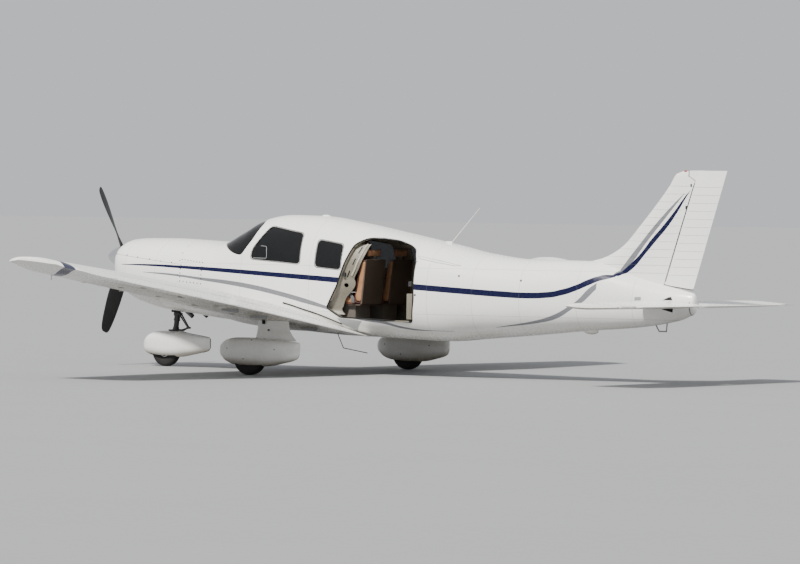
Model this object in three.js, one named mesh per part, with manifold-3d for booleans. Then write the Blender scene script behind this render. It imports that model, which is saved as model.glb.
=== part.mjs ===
// A six-seat light aircraft with a low wing and fixed gear, parked on its wheels, with its rear
// left doorway open. Millimetres, +Z up, nose towards -X and the left wing towards -Y.
// Stations are distances aft of the spinner's tip, and the last lines centre the aircraft on X.
import * as THREE from "three";
import { mergeVertices } from "three/addons/utils/BufferGeometryUtils.js";
import Module from "manifold-3d";

const wasm = await Module();
wasm.setup();

// Driving dimensions
const overallLength = 8446;
const seat = 0.4; // gap between pieces that touch
const running = 7; // gap between pieces that move past each other
const ringPoints = 28; // points round a fuselage section
const pinReach = 20; // length of a hinge pin on each side of a piece's end face
const barSides = 10;
const thrustLine = 1290;
const cabinWall = 45;
const cowlWall = 20;
const coneWall = 40;
const firewall = 1460; // station where the cowl meets the nose bay
const cabinStart = 1800;
const cabinEnd = 4900;
const roofEdge = 360; // the roof panel reaches this far from the centre plane
const floorTop = 590;
const floorStart = 2560;
const floorThickness = 30;
const dihedralTop = 300; // reach of a cutting block above and below a wing surface
const far = 1500; // reach of a cutting block past the aircraft's skin

// Fuselage sections, superellipses with their own powers above and below the widest height
const sectionColumns = ["station", "top", "bottom", "halfWidth", "widest", "upperPower", "lowerPower"];
const fuselageSections = [
  [340, 1425, 1000, 330, 1220, 2.3, 2.3],
  [400, 1470, 900, 420, 1200, 2.4, 2.4],
  [500, 1508, 825, 480, 1180, 2.4, 2.5],
  [650, 1519, 765, 525, 1150, 2.4, 2.6],
  [1010, 1523, 680, 575, 1100, 2.5, 2.8],
  [1460, 1508, 632, 606, 1045, 2.5, 3.0],
  [1800, 1496, 594, 628, 1010, 2.5, 3.2],
  [1860, 1503, 588, 632, 1000, 2.5, 3.2],
  [2200, 1665, 560, 642, 970, 2.6, 3.4],
  [2400, 1771, 540, 645, 950, 2.6, 3.5],
  [2700, 1823, 505, 648, 950, 2.6, 3.5],
  [3100, 1817, 470, 648, 950, 2.6, 3.5],
  [3600, 1751, 440, 646, 950, 2.6, 3.4],
  [4150, 1654, 428, 635, 950, 2.6, 3.2],
  [4900, 1514, 408, 596, 950, 2.5, 3.0],
  [5370, 1423, 447, 530, 950, 2.4, 2.7],
  [5970, 1364, 499, 430, 940, 2.3, 2.5],
  [6710, 1362, 572, 300, 920, 2.2, 2.4],
  [7360, 1190, 628, 190, 920, 2.1, 2.3],
  [7870, 1070, 716, 115, 900, 2.0, 2.2],
  [8070, 1020, 800, 60, 900, 2.0, 2.0],
];

// Side outlines as [station, height] corners
const windshieldOutline = [
  [1790, 1520], [2120, 1428], [2230, 1376], [2340, 1346], [2457, 1537], [2500, 1678], [2530, 2000], [1790, 2000],
];
const frontWindowOutline = [[2485, 1308], [2495, 1425], [2662, 1692], [3152, 1612], [3180, 1261]];
const secondWindowOutline = [[3393, 1233], [3380, 1548], [3729, 1494], [3745, 1205]];
const thirdWindowOutline = [[3970, 1188], [3960, 1470], [4370, 1408], [4388, 1158]];
const rearWindowOutline = [[4520, 1178], [4512, 1388], [4690, 1340], [4752, 1166]];
const doorwayOutline = [
  [3574, 767], [3746, 662], [4076, 653], [4691, 628], [4727, 880], [4713, 1312], [4644, 1447], [4563, 1492],
  [4378, 1546], [4192, 1566], [4013, 1568], [3934, 1538], [3870, 1491], [3796, 1294], [3713, 1029],
];
const bellyOutline = [[1790, 0], [1790, 690], [2700, 600], [4910, 600], [4910, 0]];
const frontDoorway = [[2416, 922], [2412, 1387], [2580, 1731], [3204, 1662], [3252, 1594], [3258, 922]];
const frontDoorOutline = [[2424, 930], [2420, 1385], [2588, 1716], [3176, 1646], [3226, 1580], [3248, 930]];
const bayDoorOutline = [[1512, 900], [1507, 1304], [1762, 1304], [1762, 880]];
const bayDoorLine = [[1507, 549, 1294], [1762, 549, 1294]];
const doorPinRadius = 5;
const frontDoorHinge = { x: 2434, y: 648, z: 1100, lean: 0.0524 };
const windowRadius = 45;
const doorRadius = 30;
const splitLine = { station: 407, height: 1331, slope: -0.1009 }; // where the cowl halves meet

// Wing sections: distance from the centre plane, leading and trailing edge, shares of the thickness
const wingColumns = ["y", "lead", "trail", "leadZ", "trailZ", "upper", "lower"];
const wingSections = [
  [420, 1960, 4030, 648, 440, 0.78, 0.33],
  [640, 2050, 4030, 678, 472, 0.81, 0.81],
  [1200, 2430, 4030, 754, 548, 1, 1],
  [2700, 2430, 4030, 968, 762, 1, 1],
  [5200, 2625, 3650, 1242, 1150, 1, 1],
  [5360, 2640, 3570, 1270, 1195, 1, 0.55],
  [5455, 2655, 3420, 1280, 1230, 1, 0.1],
  [5510, 2800, 3330, 1300, 1262, 0.55, -0.2],
];
// The section's upper and lower heights as shares of the chord, from trailing to leading edge
const airfoilColumns = ["share", "upper", "lower"];
const airfoil = [
  [1, 0.003, -0.003],
  [0.8, 0.048, -0.014],
  [0.6, 0.082, -0.04],
  [0.4, 0.097, -0.055],
  [0.2, 0.085, -0.051],
  [0.08, 0.058, -0.037],
  [0.02, 0.03, -0.021],
  [0, 0, 0],
];
const hingePinRadius = 7;
const flap = { hinge: 3745, inner: 715, outer: 2690, radius: 48 };
const aileron = { innerY: 2740, innerX: 3700, outerY: 4620, outerX: 3462, radius: 52 };

// Tail
const finColumns = ["height", "lead", "halfThickness"];
const finSections = [
  [1000, 6720, 50],
  [1366, 6720, 48],
  [1385, 6830, 48],
  [1444, 6980, 47],
  [1548, 7140, 46],
  [1764, 7340, 42],
  [2058, 7590, 34],
  [2227, 7720, 28],
  [2351, 7800, 22],
  [2384, 7890, 14],
];
const hingeLine = { x: 7696, z: 1106, slope: 364 / 1169 };
const rudderTrail = { x: 8037, z: 1067, slope: 409 / 1330 };
const noseShare = 0.72; // the rudder's nose radius as a share of the fin's half thickness
const tailPivot = { x: 7780, z: 890 };
const tailplane = { lead: 7490, tipLead: 7500, trail: 8195, halfSpan: 1950, halfThickness: 42 };
const tab = { chord: 110, halfSpan: 1620, radius: 9, pinRadius: 4 };
const torqueTubeRadius = 30;

// Propeller
const propeller = { x: 265, firstAngle: 34.5 };
const bladeColumns = ["radius", "chord", "thickness", "pitch"];
const bladeSections = [
  [95, 105, 58, 62],
  [200, 130, 42, 52],
  [330, 175, 29, 41],
  [560, 185, 18, 29],
  [800, 165, 12, 21],
  [940, 125, 8, 18],
  [990, 60, 5, 17],
];

// Landing gear
const mainWheel = { x: 3220, y: 1665, radius: 200, width: 140, rim: 72 };
const noseWheel = { x: 873, y: 0, radius: 180, width: 124, rim: 65 };
const mainPantY = 1650;
const wheelClearance = 8; // between a tyre and the inside of its pant
const pantPower = 3;
const axleRadius = 16;
// Wheel fairings, whose middle may be shifted across the aircraft
const pantColumns = ["station", "top", "bottom", "halfWidth", "shift"];
const mainPantSections = [
  [2812, 315, 245, 30, 0],
  [2850, 362, 195, 72, 0],
  [2925, 405, 145, 115, 0],
  [3044, 424, 112, 145, 0],
  [3240, 426, 100, 152, 0],
  [3423, 420, 102, 140, 0],
  [3640, 402, 140, 100, -20],
  [3810, 386, 190, 42, -52],
  [3847, 378, 245, 14, -60],
];
const nosePantSections = [
  [560, 275, 225, 26, 0],
  [585, 325, 180, 62, 0],
  [640, 375, 142, 98, 0],
  [743, 413, 121, 122, 0],
  [873, 422, 112, 130, 0],
  [1080, 418, 116, 128, 0],
  [1210, 396, 138, 110, 0],
  [1400, 370, 178, 66, 0],
  [1480, 357, 200, 30, 0],
  [1507, 350, 222, 12, 0],
];
const steeringAxis = { x: 974, z: 180, slope: 0.115 }; // leans aft going up
const legOutline = [[3250, 640], [3215, 432], [3760, 405], [3690, 500], [3665, 640]];
const legY = 1545;
const legRadius = 25;

// Seats, with X at the front of the cushion and Y at the middle
const seatPlaces = [
  ["seat_front_left", 2620, -290],
  ["seat_front_right", 2620, 290],
  ["seat_middle_left", 3440, -290],
  ["seat_middle_right", 3440, 290],
];
const seatWidth = 450;
const seatProfile = [[0, 205], [0, 315], [30, 330], [420, 305], [500, 740], [575, 740], [530, 235], [490, 205]];
const headrestProfile = [[512, 735], [515, 860], [570, 860], [572, 735]];
const headrestWidth = 250;
const pedestal = { inset: 60, length: 340, width: 300, height: seatProfile[0][1] - seat };

const paint = (name, color, roughness, metalness) =>
  new THREE.MeshStandardMaterial({ name, color, roughness, metalness });
const white = paint("white_paint", 0xe9e8e4, 0.3, 0);
const whiteFibre = paint("white_fibre", 0xe4e2dc, 0.35, 0);
const blackPaint = paint("black_paint", 0x16161a, 0.4, 0);
const polished = paint("polished_metal", 0xd0d2d4, 0.15, 1);
const castMetal = paint("engine_metal", 0x5b5d5f, 0.6, 0.8);
const gearMetal = paint("gear_metal", 0x26272a, 0.4, 0.6);
const darkGlass = new THREE.MeshStandardMaterial({
  name: "window", color: 0x1c2226, roughness: 0.08, metalness: 0, transparent: true, opacity: 0.4,
});
const rubber = paint("tyre", 0x1a1a1a, 0.85, 0);
const leather = paint("leather", 0x9a6440, 0.6, 0);
const trim = paint("cabin_trim", 0xb9b09c, 0.75, 0);
const panelPlastic = paint("panel", 0x2a2b2d, 0.6, 0);

// Turns an indexed list of points into a solid whose faces point out.
function solidOf(positions, index) {
  const build = (triangles) =>
    new wasm.Manifold(
      new wasm.Mesh({
        numProp: 3,
        vertProperties: new Float32Array(positions),
        triVerts: new Uint32Array(triangles),
      }),
    );
  const made = build(index);
  if (made.volume() >= 0) return made;
  return build([...index].reverse());
}

function solidOfGeometry(geometry) {
  const bare = geometry.clone();
  bare.deleteAttribute("normal");
  bare.deleteAttribute("uv");
  const merged = mergeVertices(bare, 1e-3);
  return solidOf(merged.attributes.position.array, [...merged.index.array]);
}

// A closed solid through rings that all have the same number of points. The diagonals of its
// second half mirror those of the first, so a form that is even about the centre plane stays so.
function loft(rings) {
  const count = rings[0].length;
  const last = (rings.length - 1) * count;
  const middle = (ring) =>
    ring.reduce((sum, point) => sum.add(point), new THREE.Vector3()).divideScalar(count);
  const points = [...rings.flat(), middle(rings[0]), middle(rings.at(-1))];
  const startCentre = rings.length * count;
  const index = [];
  for (let k = 0; k < count; k += 1) {
    const next = (k + 1) % count;
    for (let row = 0; row < last; row += count) {
      const [a, b, c, d] = [row + k, row + next, row + count + next, row + count + k];
      if (k < count / 2) index.push(a, b, c, a, c, d);
      else index.push(a, b, d, b, c, d);
    }
    index.push(startCentre, next, k);
    index.push(startCentre + 1, last + k, last + next);
  }
  return solidOf(points.flatMap((point) => point.toArray()), index);
}

function join(...solids) {
  return solids.reduce((sum, piece) => sum.add(piece));
}

function box(lowX, highX, lowY, highY, lowZ, highZ) {
  const shape = new THREE.BoxGeometry(highX - lowX, highY - lowY, highZ - lowZ);
  shape.translate((lowX + highX) / 2, (lowY + highY) / 2, (lowZ + highZ) / 2);
  return solidOfGeometry(shape);
}

// A round bar from one point to another, with its own radius at each end.
function bar(from, to, startRadius, endRadius = startRadius, sides = barSides) {
  const start = new THREE.Vector3(...from);
  const end = new THREE.Vector3(...to);
  const along = end.clone().sub(start);
  const shape = new THREE.CylinderGeometry(endRadius, startRadius, along.length(), sides);
  const up = new THREE.Vector3(0, 1, 0);
  shape.applyQuaternion(new THREE.Quaternion().setFromUnitVectors(up, along.clone().normalize()));
  shape.translate(...start.add(end).divideScalar(2).toArray());
  return solidOfGeometry(shape);
}

// The space for a round bar that turns, with flats that clear it by the seat gap.
function boreFor(from, to, radius, sides = barSides) {
  const outside = (radius + seat) / Math.cos(Math.PI / sides);
  return bar(from, to, outside, outside, sides);
}

// Short pins on a hinge line that stand out of both ends of the piece that it carries.
function endPins(line, radius, grow = 0) {
  const [start, end] = line.map((point) => new THREE.Vector3(...point));
  const along = end.clone().sub(start).normalize();
  const pin = (point) => {
    const reach = pinReach + grow;
    const ends = [-reach, reach].map((step) => point.clone().addScaledVector(along, step).toArray());
    return grow > 0 ? boreFor(...ends, radius) : bar(...ends, radius);
  };
  return join(pin(start), pin(end));
}

// Moves each edge of a closed outline inwards, or outwards when the distance is negative.
function insetOutline(corners, distance) {
  const area = corners.reduce((sum, [x, z], k) => {
    const [nextX, nextZ] = corners[(k + 1) % corners.length];
    return sum + x * nextZ - nextX * z;
  }, 0);
  const side = Math.sign(area) * distance;
  const edges = corners.map(([x, z], k) => {
    const [nextX, nextZ] = corners[(k + 1) % corners.length];
    const size = Math.hypot(nextX - x, nextZ - z);
    const direction = [(nextX - x) / size, (nextZ - z) / size];
    return { x: x - direction[1] * side, z: z + direction[0] * side, direction };
  });
  return edges.map((edge, k) => {
    const before = edges.at(k - 1);
    const [ax, az] = before.direction;
    const [bx, bz] = edge.direction;
    const cross = ax * bz - az * bx;
    const share = ((edge.x - before.x) * bz - (edge.z - before.z) * bx) / cross;
    return [before.x + ax * share, before.z + az * share];
  });
}

// An outline as a shape whose corners are rounded by short curves.
function roundedShape(corners, radius) {
  const shape = new THREE.Shape();
  corners.forEach((corner, k) => {
    const here = new THREE.Vector2(...corner);
    const towards = (other) => {
      const away = new THREE.Vector2(...other).sub(here);
      return here.clone().add(away.setLength(Math.min(radius, away.length() * 0.45)));
    };
    const enter = towards(corners.at(k - 1));
    const leave = towards(corners[(k + 1) % corners.length]);
    if (k === 0) shape.moveTo(enter.x, enter.y);
    else shape.lineTo(enter.x, enter.y);
    if (radius > 0) shape.quadraticCurveTo(here.x, here.y, leave.x, leave.y);
  });
  shape.closePath();
  return shape;
}

// A side outline carried across the aircraft, from one distance off the centre plane to another.
function sidePrism(corners, fromY, toY, radius = 0) {
  const shape = new THREE.ExtrudeGeometry(roundedShape(corners, radius), {
    depth: toY - fromY, bevelEnabled: false, curveSegments: 2,
  });
  shape.rotateX(Math.PI / 2);
  shape.translate(0, toY, 0);
  return solidOfGeometry(shape);
}

// A plan outline of [station, y] corners carried up through the aircraft.
function planPrism(corners, lowZ, highZ) {
  const shape = new THREE.ExtrudeGeometry(roundedShape(corners, 0), {
    depth: highZ - lowZ, bevelEnabled: false,
  });
  shape.translate(0, 0, lowZ);
  return solidOfGeometry(shape);
}

// The row of a table that holds for a value of its first column, with the other columns in between.
function rowAt(table, value) {
  const after = Math.max(1, table.findIndex((row) => row[0] >= value));
  const [low, high] = [table[after - 1], table[after]];
  const share = (value - low[0]) / (high[0] - low[0]);
  return low.map((number, column) => number + (high[column] - number) * share);
}

const named = (columns, row) => Object.fromEntries(columns.map((column, k) => [column, row[k]]));

function fuselageRing(station, inset) {
  const section = named(sectionColumns, rowAt(fuselageSections, station));
  return Array.from({ length: ringPoints }, (_, k) => {
    const angle = (2 * Math.PI * k) / ringPoints;
    const [across, up] = [Math.sin(angle), Math.cos(angle)];
    const power = up >= 0 ? section.upperPower : section.lowerPower;
    const reach = up >= 0 ? section.top - section.widest : section.widest - section.bottom;
    const along = (size, share) => size * Math.sign(share) * Math.abs(share) ** (2 / power);
    return new THREE.Vector3(
      station,
      along(section.halfWidth - inset, across),
      section.widest + along(reach - inset, up),
    );
  });
}

// The fuselage between two stations, with its skin moved in by the inset.
function fuselage(from, to, inset) {
  const inner = fuselageSections.map(([station]) => station).filter((s) => s > from && s < to);
  return loft([from, ...inner, to].map((station) => fuselageRing(station, inset)));
}

// A hollow stretch of fuselage, open at both ends.
function fuselageShell(from, to, wall) {
  return fuselage(from, to, 0).subtract(fuselage(from - 1, to + 1, wall));
}

// A glass pane cut from the skin, fitted in the outline with the seat gap all round.
function pane(outline, radius, fromY, toY) {
  const sheet = fuselage(cabinStart + 1, cabinEnd, 8).subtract(fuselage(cabinStart, cabinEnd, 16));
  return sheet.intersect(sidePrism(insetOutline(outline, seat), fromY, toY, radius));
}

function cowlHalves() {
  const noseFace = fuselageSections[0][0];
  const shell = fuselage(noseFace, firewall - seat, 0).subtract(
    fuselage(noseFace + cowlWall, firewall + 1, cowlWall),
  );
  const inlet = (y) => {
    const shape = new THREE.CylinderGeometry(62, 62, 200, 20);
    shape.scale(1.55, 1, 1);
    shape.rotateZ(Math.PI / 2);
    shape.rotateX(Math.PI / 2);
    shape.translate(noseFace, y, thrustLine - 20);
    return solidOfGeometry(shape);
  };
  const openings = join(
    inlet(-215),
    inlet(215),
    bar([noseFace - 100, 0, thrustLine], [noseFace + 100, 0, thrustLine], 96),
    box(noseFace - 50, noseFace + 60, -120, 120, 1050, 1110),
    bar([steerX(500), 0, 500], [steerX(900), 0, 900], 60),
    box(1290, firewall + 1, -210, 210, 500, 700),
  );
  const heightAt = (station) => splitLine.height + (station - splitLine.station) * splitLine.slope;
  const upperOutline = [
    [0, heightAt(0)], [firewall + far, heightAt(firewall + far)], [firewall + far, 3000], [0, 3000],
  ];
  const body = shell.subtract(openings);
  return {
    upper: body.intersect(sidePrism(upperOutline, -far, far)),
    lower: body.subtract(sidePrism(insetOutline(upperOutline, -seat), -far, far)),
  };
}

function noseBay() {
  const back = cabinStart - seat;
  const shell = fuselage(firewall, back, 0).subtract(fuselage(firewall + 25, back - 25, cabinWall));
  return shell
    .subtract(sidePrism(insetOutline(bayDoorOutline, -running), 300, far))
    .subtract(endPins(bayDoorLine, doorPinRadius, seat));
}

function noseBayDoor() {
  return fuselageShell(firewall, cabinStart, cabinWall)
    .intersect(sidePrism(bayDoorOutline, 300, far))
    .add(endPins(bayDoorLine, doorPinRadius));
}

// The windshield's opening on one side, from the centre post to the pillar.
function windshieldCut(inset) {
  const post = 18;
  const plan = [[1700, post], [2395, post], [2500, roofEdge], [2700, 900], [1700, 900]];
  return sidePrism(insetOutline(windshieldOutline, inset), -far, far).intersect(
    planPrism(insetOutline(plan, inset), 1000, 2500),
  );
}

const mirrorSolid = (made) => {
  const shape = geometryOf(made);
  shape.scale(1, -1, 1);
  return solidOfGeometry(shape);
};

// The pin under the front door, or the space it needs when it is grown.
function frontDoorPin(grow) {
  const at = (z) => [frontDoorHinge.x, frontDoorHinge.y + (z - frontDoorHinge.z) * frontDoorHinge.lean, z];
  const ends = [at(905 - grow), at(959)];
  return grow > 0 ? boreFor(...ends, doorPinRadius) : bar(...ends, doorPinRadius);
}

function cabinPanels() {
  const windshield = windshieldCut(0);
  const openings = join(
    windshield,
    mirrorSolid(windshield),
    sidePrism(frontWindowOutline, -far, -250, windowRadius),
    sidePrism(secondWindowOutline, -far, -250, windowRadius),
    sidePrism(secondWindowOutline, 250, far, windowRadius),
    sidePrism(thirdWindowOutline, 250, far, windowRadius),
    sidePrism(rearWindowOutline, 250, far, windowRadius),
    sidePrism(doorwayOutline, -far, -150, doorRadius),
    sidePrism(frontDoorway, 250, far, doorRadius),
    frontDoorPin(seat),
  );
  const body = fuselageShell(cabinStart, cabinEnd - seat, cabinWall).subtract(openings);
  const ends = [cabinStart - 10, cabinEnd + 10];
  const belly = sidePrism(bellyOutline, -far, far);
  const side = box(...ends, roofEdge + seat, far, 0, 2500).subtract(
    sidePrism(insetOutline(bellyOutline, -seat), -far, far),
  );
  return {
    roof: body.intersect(box(...ends, -roofEdge, roofEdge, 1000, 2500)),
    right: body.intersect(side),
    left: body.intersect(mirrorSolid(side)),
    belly: body.intersect(belly),
  };
}

function geometryOf(made) {
  const { vertProperties, triVerts } = made.getMesh();
  return new THREE.BufferGeometry()
    .setAttribute("position", new THREE.BufferAttribute(vertProperties, 3))
    .setIndex(new THREE.BufferAttribute(triVerts, 1));
}

// The steering axis' station at a height.
function steerX(height) {
  return steeringAxis.x + (height - steeringAxis.z) * steeringAxis.slope;
}

function tailCone() {
  const front = cabinEnd;
  const end = fuselageSections.at(-1)[0];
  const hollowEnd = 7300;
  const tubeHole = boreFor(
    [tailPivot.x, -300, tailPivot.z], [tailPivot.x, 300, tailPivot.z], torqueTubeRadius, 2 * barSides,
  );
  const ductToOutside = bar([7280, 0, tailPivot.z], [tailPivot.x, 0, tailPivot.z], 20);
  return fuselage(front, end, 0)
    .subtract(fuselage(front + 30, hollowEnd, coneWall))
    .subtract(join(tubeHole, ductToOutside, rudderPin(seat)));
}

// The pin under the rudder's nose, or the space it needs when it is grown.
function rudderPin(grow) {
  const [low, high] = [1086 - grow, 1140];
  const ends = [[hingeX(low), 0, low], [hingeX(high), 0, high]];
  return grow > 0 ? boreFor(...ends, hingePinRadius) : bar(...ends, hingePinRadius);
}

// The loop for a rope under the tail, hung from two points of the skin.
function tieDown() {
  const loop = join(
    bar([7540, 0, 700], [7610, 0, 590], 8, 8, 8),
    bar([7604, 0, 592], [7706, 0, 592], 8, 8, 8),
    bar([7700, 0, 590], [7716, 0, 740], 8, 8, 8),
  );
  return loop.subtract(fuselage(7000, 8000, -seat));
}

const hingeX = (z) => hingeLine.x + (z - hingeLine.z) * hingeLine.slope;
const rudderTrailX = (z) => rudderTrail.x + (z - rudderTrail.z) * rudderTrail.slope;

function finHalfThickness(height) {
  return rowAt(finSections, Math.min(height, finSections.at(-1)[0]))[2];
}

// The rudder's outer form, or the space it needs when it is grown.
function rudderForm(grow) {
  const heights = [1000, 1366, 1764, 2058, 2227, 2390];
  const reach = grow > 0 ? 60 : 0;
  const rings = heights.map((z) => {
    const radius = finHalfThickness(z) * noseShare + grow;
    const nose = Array.from({ length: 7 }, (_, k) => {
      const angle = Math.PI / 2 + (Math.PI * k) / 6;
      return new THREE.Vector3(hingeX(z) + radius * Math.cos(angle), radius * Math.sin(angle), z);
    });
    const trail = rudderTrailX(z) + reach;
    const tail = grow > 0 ? radius : 3;
    return [...nose, new THREE.Vector3(trail, -tail, z), new THREE.Vector3(trail, tail, z)];
  });
  return loft(rings);
}

// The rudder's horn stands over the back of the fin's tip.
const hornOutline = [[7970, 2392], [7970, 2330], [8060, 2275], [8160, 2275], [8160, 2392]];

function rudder() {
  const bottom = [[7600, 900], [8200, 900], [8200, 1046], [7765, 1103], [7600, 1142]];
  const top = [[7600, 2383], [8600, 2400], [8600, 2700], [7600, 2700]];
  const body = rudderForm(0).subtract(join(
    sidePrism(bottom, -200, 200),
    sidePrism(top, -200, 200),
  ));
  const horn = sidePrism(hornOutline, -9, 9).subtract(sidePrism(top, -200, 200));
  return join(body, horn, rudderPin(0));
}

function fin() {
  const shape = [[0, 0], [0.03, 0.42], [0.1, 0.72], [0.3, 1], [0.6, 0.95], [1, noseShare]];
  const rings = finSections.map((row) => {
    const { height, lead, halfThickness } = named(finColumns, row);
    const chord = hingeX(height) - lead;
    const point = ([share, part], side) =>
      new THREE.Vector3(lead + share * chord, side * part * halfThickness, height);
    return [...shape.map((p) => point(p, 1)), ...shape.slice(1).reverse().map((p) => point(p, -1))];
  });
  const cone = fuselage(6500, fuselageSections.at(-1)[0], -seat);
  const hornSpace = [[7960, 2700], [7960, 2320], [8052, 2263], [8200, 2263], [8200, 2700]];
  const belowRudder = [[6600, 900], [8300, 900], [8300, 1011], [6600, 1211]];
  return loft(rings)
    .subtract(rudderForm(running))
    .subtract(sidePrism(hornSpace, -200, 200))
    .subtract(join(cone, sidePrism(belowRudder, -200, 200)));
}

// The tailplane's section at a distance from the centre plane.
function tailplaneRing(y, lead, thickness) {
  const shape = [[0, 0], [0.03, 0.4], [0.12, 0.75], [0.35, 1], [0.7, 0.68], [1, 0.24]];
  const chord = tailplane.trail - lead;
  const point = ([share, part], side) =>
    new THREE.Vector3(lead + share * chord, y, tailPivot.z + side * part * thickness);
  return [...shape.map((p) => point(p, 1)), ...shape.slice(1).reverse().map((p) => point(p, -1))];
}

function stabilator() {
  const { lead, tipLead, halfSpan, halfThickness, trail } = tailplane;
  const half = [
    [halfSpan, tipLead + 100, halfThickness * 0.35],
    [halfSpan - 25, tipLead + 35, halfThickness * 0.6],
    [halfSpan - 80, tipLead, halfThickness * 0.85],
    [0, lead, halfThickness],
  ];
  const rows = [...half, ...half.slice(0, -1).reverse().map(([y, ...rest]) => [-y, ...rest])];
  const rings = rows.map(([y, front, thickness]) => tailplaneRing(y, front, thickness));
  const rootPlan = [
    [7000, -250], [7360, -205], [7870, -130], [8078, -78], [8112, -60], [8112, 60], [8078, 78], [7870, 130],
    [7360, 205], [7000, 250],
  ];
  const tube = bar(
    [tailPivot.x, -260, tailPivot.z], [tailPivot.x, 260, tailPivot.z],
    torqueTubeRadius, torqueTubeRadius, 2 * barSides,
  );
  const tabNose = bar(
    [trail + 12, -tab.halfSpan - running, tailPivot.z], [trail + 12, tab.halfSpan + running, tailPivot.z],
    tab.radius + running,
  );
  const tipOutline = [[trail - 60, tab.halfSpan + running], [trail - 60, halfSpan - 30], [trail + 15, halfSpan - 50],
    [trail + 55, tab.halfSpan + 90], [trail + 55, tab.halfSpan + running]];
  const tip = planPrism(tipOutline, tailPivot.z - 8, tailPivot.z + 8);
  return loft(rings)
    .subtract(planPrism(rootPlan, 0, 2000))
    .subtract(tabNose)
    .add(join(tube, tip, mirrorSolid(tip)))
    .subtract(endPins(tabLine(), tab.pinRadius, seat));
}

function tabLine() {
  const hinge = tailplane.trail + 12;
  return [[hinge, -tab.halfSpan, tailPivot.z], [hinge, tab.halfSpan, tailPivot.z]];
}

function stabilatorTab() {
  const hinge = tailplane.trail + 12;
  const { halfSpan, radius, chord } = tab;
  const outline = [[hinge, radius], [hinge, -radius], [hinge + chord, -2], [hinge + chord, 2]];
  const blade = sidePrism(outline.map(([x, z]) => [x, z + tailPivot.z]), -halfSpan, halfSpan);
  return join(blade, bar(...tabLine(), radius), endPins(tabLine(), tab.pinRadius));
}

// The right wing's whole form, from inside the fuselage to the tip.
function wingForm() {
  const rings = wingSections.map((row) => {
    const { y, lead, trail, leadZ, trailZ, upper, lower } = named(wingColumns, row);
    const chord = trail - lead;
    const point = (share, height) =>
      new THREE.Vector3(
        lead + share * chord, y, leadZ + (trailZ - leadZ) * share + height * chord,
      );
    const over = airfoil.map((values) => point(values[0], values[1] * upper));
    const under = airfoil.slice(0, -1).reverse().map((values) => point(values[0], values[2] * lower));
    return [...over, ...under];
  });
  return loft(rings);
}

// The height half way through the wing at a station and distance from the centre plane.
function wingMiddle(x, y) {
  const row = named(wingColumns, rowAt(wingSections, y));
  const share = (x - row.lead) / (row.trail - row.lead);
  const falling = [...airfoil].reverse();
  const [, upper, lower] = rowAt(falling, share);
  const chordZ = row.leadZ + (row.trailZ - row.leadZ) * share;
  return chordZ + ((upper + lower) / 2) * (row.trail - row.lead);
}

// The block of wing that turns about a hinge line, with a round nose about it.
function surfaceBlock(from, to, radius, endGap) {
  const start = new THREE.Vector3(...from);
  const along = new THREE.Vector3(...to).sub(start);
  const length = along.length();
  const yAxis = along.normalize();
  const xAxis = yAxis.clone().cross(new THREE.Vector3(0, 0, 1)).normalize();
  const zAxis = xAxis.clone().cross(yAxis);
  const place = new THREE.Matrix4().makeBasis(xAxis, yAxis, zAxis).setPosition(start);
  const size = length + 2 * endGap;
  const aft = new THREE.BoxGeometry(900, size, 2 * dihedralTop);
  aft.translate(450, length / 2, 0);
  const nose = new THREE.CylinderGeometry(radius, radius, size, 16);
  nose.translate(0, length / 2, 0);
  return join(solidOfGeometry(aft.applyMatrix4(place)), solidOfGeometry(nose.applyMatrix4(place)));
}

const hingePoint = (x, y) => [x, y, wingMiddle(x, y)];

function wingPieces() {
  const form = wingForm();
  const flapLine = [hingePoint(flap.hinge, flap.inner), hingePoint(flap.hinge, flap.outer)];
  const aileronLine = [
    hingePoint(aileron.innerX, aileron.innerY), hingePoint(aileron.outerX, aileron.outerY),
  ];
  const fuselageSpace = fuselage(1500, 4900, -seat);
  const whole = form.subtract(fuselageSpace);
  const carve = (line, radius) =>
    whole.intersect(surfaceBlock(...line, radius, 0)).add(endPins(line, hingePinRadius));
  const panel = whole
    .subtract(surfaceBlock(...flapLine, flap.radius + running, running + 2))
    .subtract(surfaceBlock(...aileronLine, aileron.radius + running, running + 2))
    .subtract(endPins(flapLine, hingePinRadius, seat))
    .subtract(endPins(aileronLine, hingePinRadius, seat));
  return { panel, flap: carve(flapLine, flap.radius), aileron: carve(aileronLine, aileron.radius) };
}

// The spinner and the shaft behind it, or the space they need when they are grown.
function spinner(grow) {
  const profile = [
    [0, 0], [38, 22], [72, 62], [104, 125], [132, 205], [146, 270], [150, 318], [60, 318], [58, 549.6], [0, 549.6],
  ];
  const shape = new THREE.LatheGeometry(profile.map(([r, x]) => new THREE.Vector2(r > 0 ? r + grow : 0, x)), 24);
  shape.rotateZ(-Math.PI / 2);
  shape.translate(0, 0, thrustLine);
  return solidOfGeometry(shape);
}

// One blade that points up, its front face towards the nose and its leading edge to the right.
function blade() {
  const outline = [[-0.5, 0], [-0.3, 0.38], [0, 0.5], [0.32, 0.36], [0.5, 0], [0.3, -0.2], [-0.3, -0.2]];
  const rings = bladeSections.map((row) => {
    const { radius, chord, thickness, pitch } = named(bladeColumns, row);
    const turn = THREE.MathUtils.degToRad(pitch);
    return outline.map(([share, part]) => {
      const along = share * chord;
      const out = -part * thickness;
      return new THREE.Vector3(
        out * Math.cos(turn) - along * Math.sin(turn),
        along * Math.cos(turn) + out * Math.sin(turn),
        radius,
      );
    });
  });
  return loft(rings);
}

const aheadOfFirewall = () => box(0, firewall - seat, -far, far, 0, 2000);

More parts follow.
